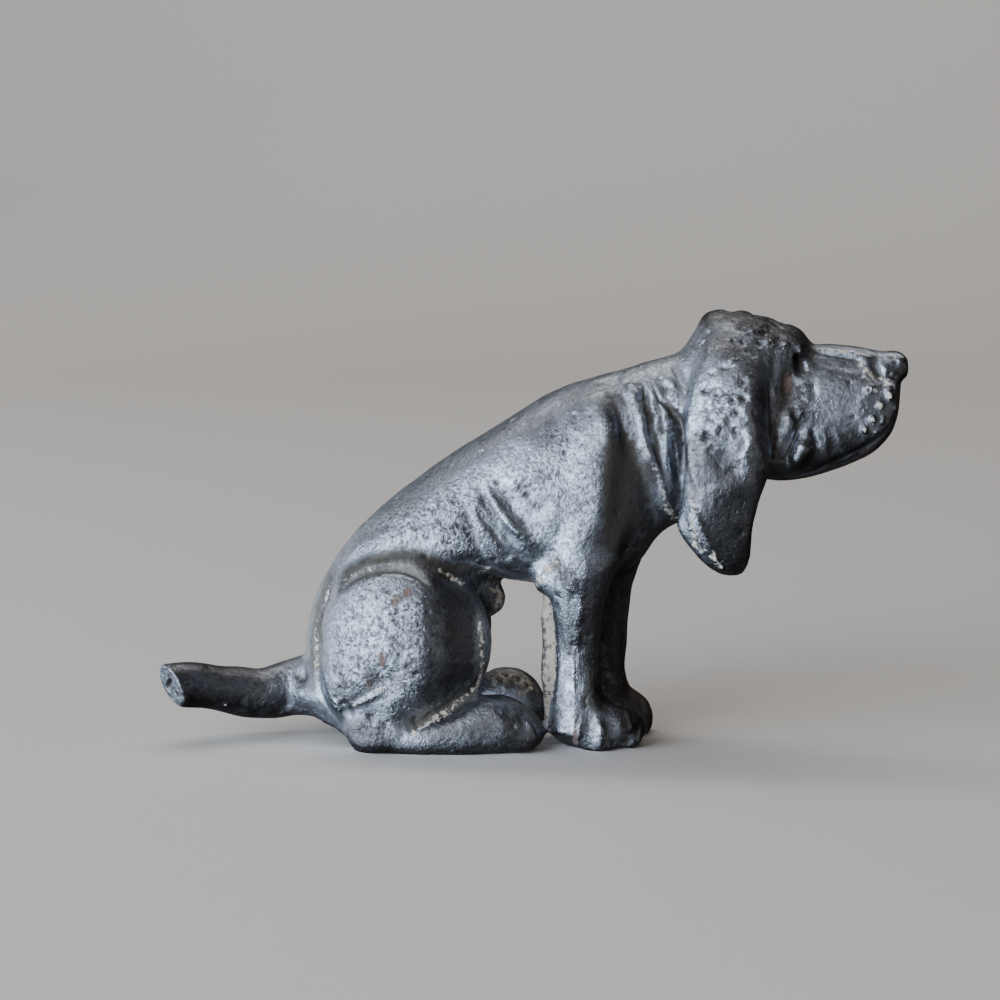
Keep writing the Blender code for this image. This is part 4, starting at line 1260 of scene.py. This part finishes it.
def light_stage(stage):
    """A big cool lamp on the left, weaker ones behind, above, in front and on the right, a dim room."""
    aim = (0.0, 0.0, 0.025)
    up_high = (0.0, 1.5, 0.45)
    for lamp in (
        ("window", (-0.52, -0.42, 0.06), aim, (0.85, 0.78), stage.window_power, (0.74, 0.86, 1.0)),
        ("wall", (-0.65, 0.55, 0.05), aim, (0.60, 0.60), stage.wall_power, (0.95, 0.97, 1.0)),
        ("ceiling", (-0.10, 0.25, 0.90), aim, (0.9, 0.7), stage.ceiling_power, (1.0, 0.97, 0.93)),
        ("front", (-0.22, -0.75, 0.50), aim, (0.60, 0.45), stage.front_power, (1.0, 0.97, 0.96)),
        ("right", (0.52, -0.50, 0.06), aim, (0.30, 0.50), stage.right_power, (1.0, 0.96, 0.94)),
        ("backdrop", (0.0, 0.55, 1.5), up_high, (2.4, 0.4), stage.backdrop_power, (1.0, 0.98, 0.95)),
    ):
        soft_light(*lamp)
    world = bpy.data.worlds.new("room")
    world.use_nodes = True
    background = world.node_tree.nodes["Background"]
    background.inputs["Color"].default_value = (1.0, 0.80, 0.70, 1.0)
    background.inputs["Strength"].default_value = stage.room_strength
    bpy.context.scene.world = world


def place_camera(stage):
    bpy.ops.object.camera_add(
        location=stage.camera_place,
        rotation=(math.radians(90) - stage.camera_tilt, 0, stage.camera_turn),
    )
    camera = bpy.context.active_object
    camera.data.lens = stage.lens
    camera.data.sensor_width = 36.0
    camera.data.clip_start = 0.01
    bpy.context.scene.camera = camera


class HOUND_OT_stage(bpy.types.Operator):
    """Sets out the floor, the soft light and the camera"""

    bl_idname = "hound.set_stage"
    bl_label = "Set the stage"
    bl_options = {"REGISTER", "UNDO"}

    def execute(self, context):
        stage = context.scene.hound_stage
        build_floor(stage)
        light_stage(stage)
        place_camera(stage)
        return {"FINISHED"}


class HOUND_PT_panel(bpy.types.Panel):
    """Lists the steps that dress the hound, with their settings"""

    bl_idname = "HOUND_PT_panel"
    bl_label = "Pewter hound"
    bl_space_type = "VIEW_3D"
    bl_region_type = "UI"
    bl_category = "Hound"

    def draw(self, context):
        scene = context.scene
        steps = (
            (HOUND_OT_cast, (scene.hound_casting, scene.hound_finish)),
            (HOUND_OT_stage, (scene.hound_stage,)),
        )
        for operator, groups in steps:
            box = self.layout.box()
            for group in groups:
                for name in group.__annotations__:
                    box.prop(group, name)
            box.operator(operator.bl_idname)


CLASSES = (HoundCasting, HoundFinish, HoundStage, HOUND_OT_cast, HOUND_OT_stage, HOUND_PT_panel)


def register():
    for each in CLASSES:
        bpy.utils.register_class(each)
    bpy.types.Scene.hound_casting = PointerProperty(type=HoundCasting)
    bpy.types.Scene.hound_finish = PointerProperty(type=HoundFinish)
    bpy.types.Scene.hound_stage = PointerProperty(type=HoundStage)


def unregister():
    del bpy.types.Scene.hound_stage
    del bpy.types.Scene.hound_finish
    del bpy.types.Scene.hound_casting
    for each in reversed(CLASSES):
        bpy.utils.unregister_class(each)


def main():
    register()
    bpy.ops.hound.cast()
    bpy.ops.hound.set_stage()


if __name__ == "__main__":
    main()
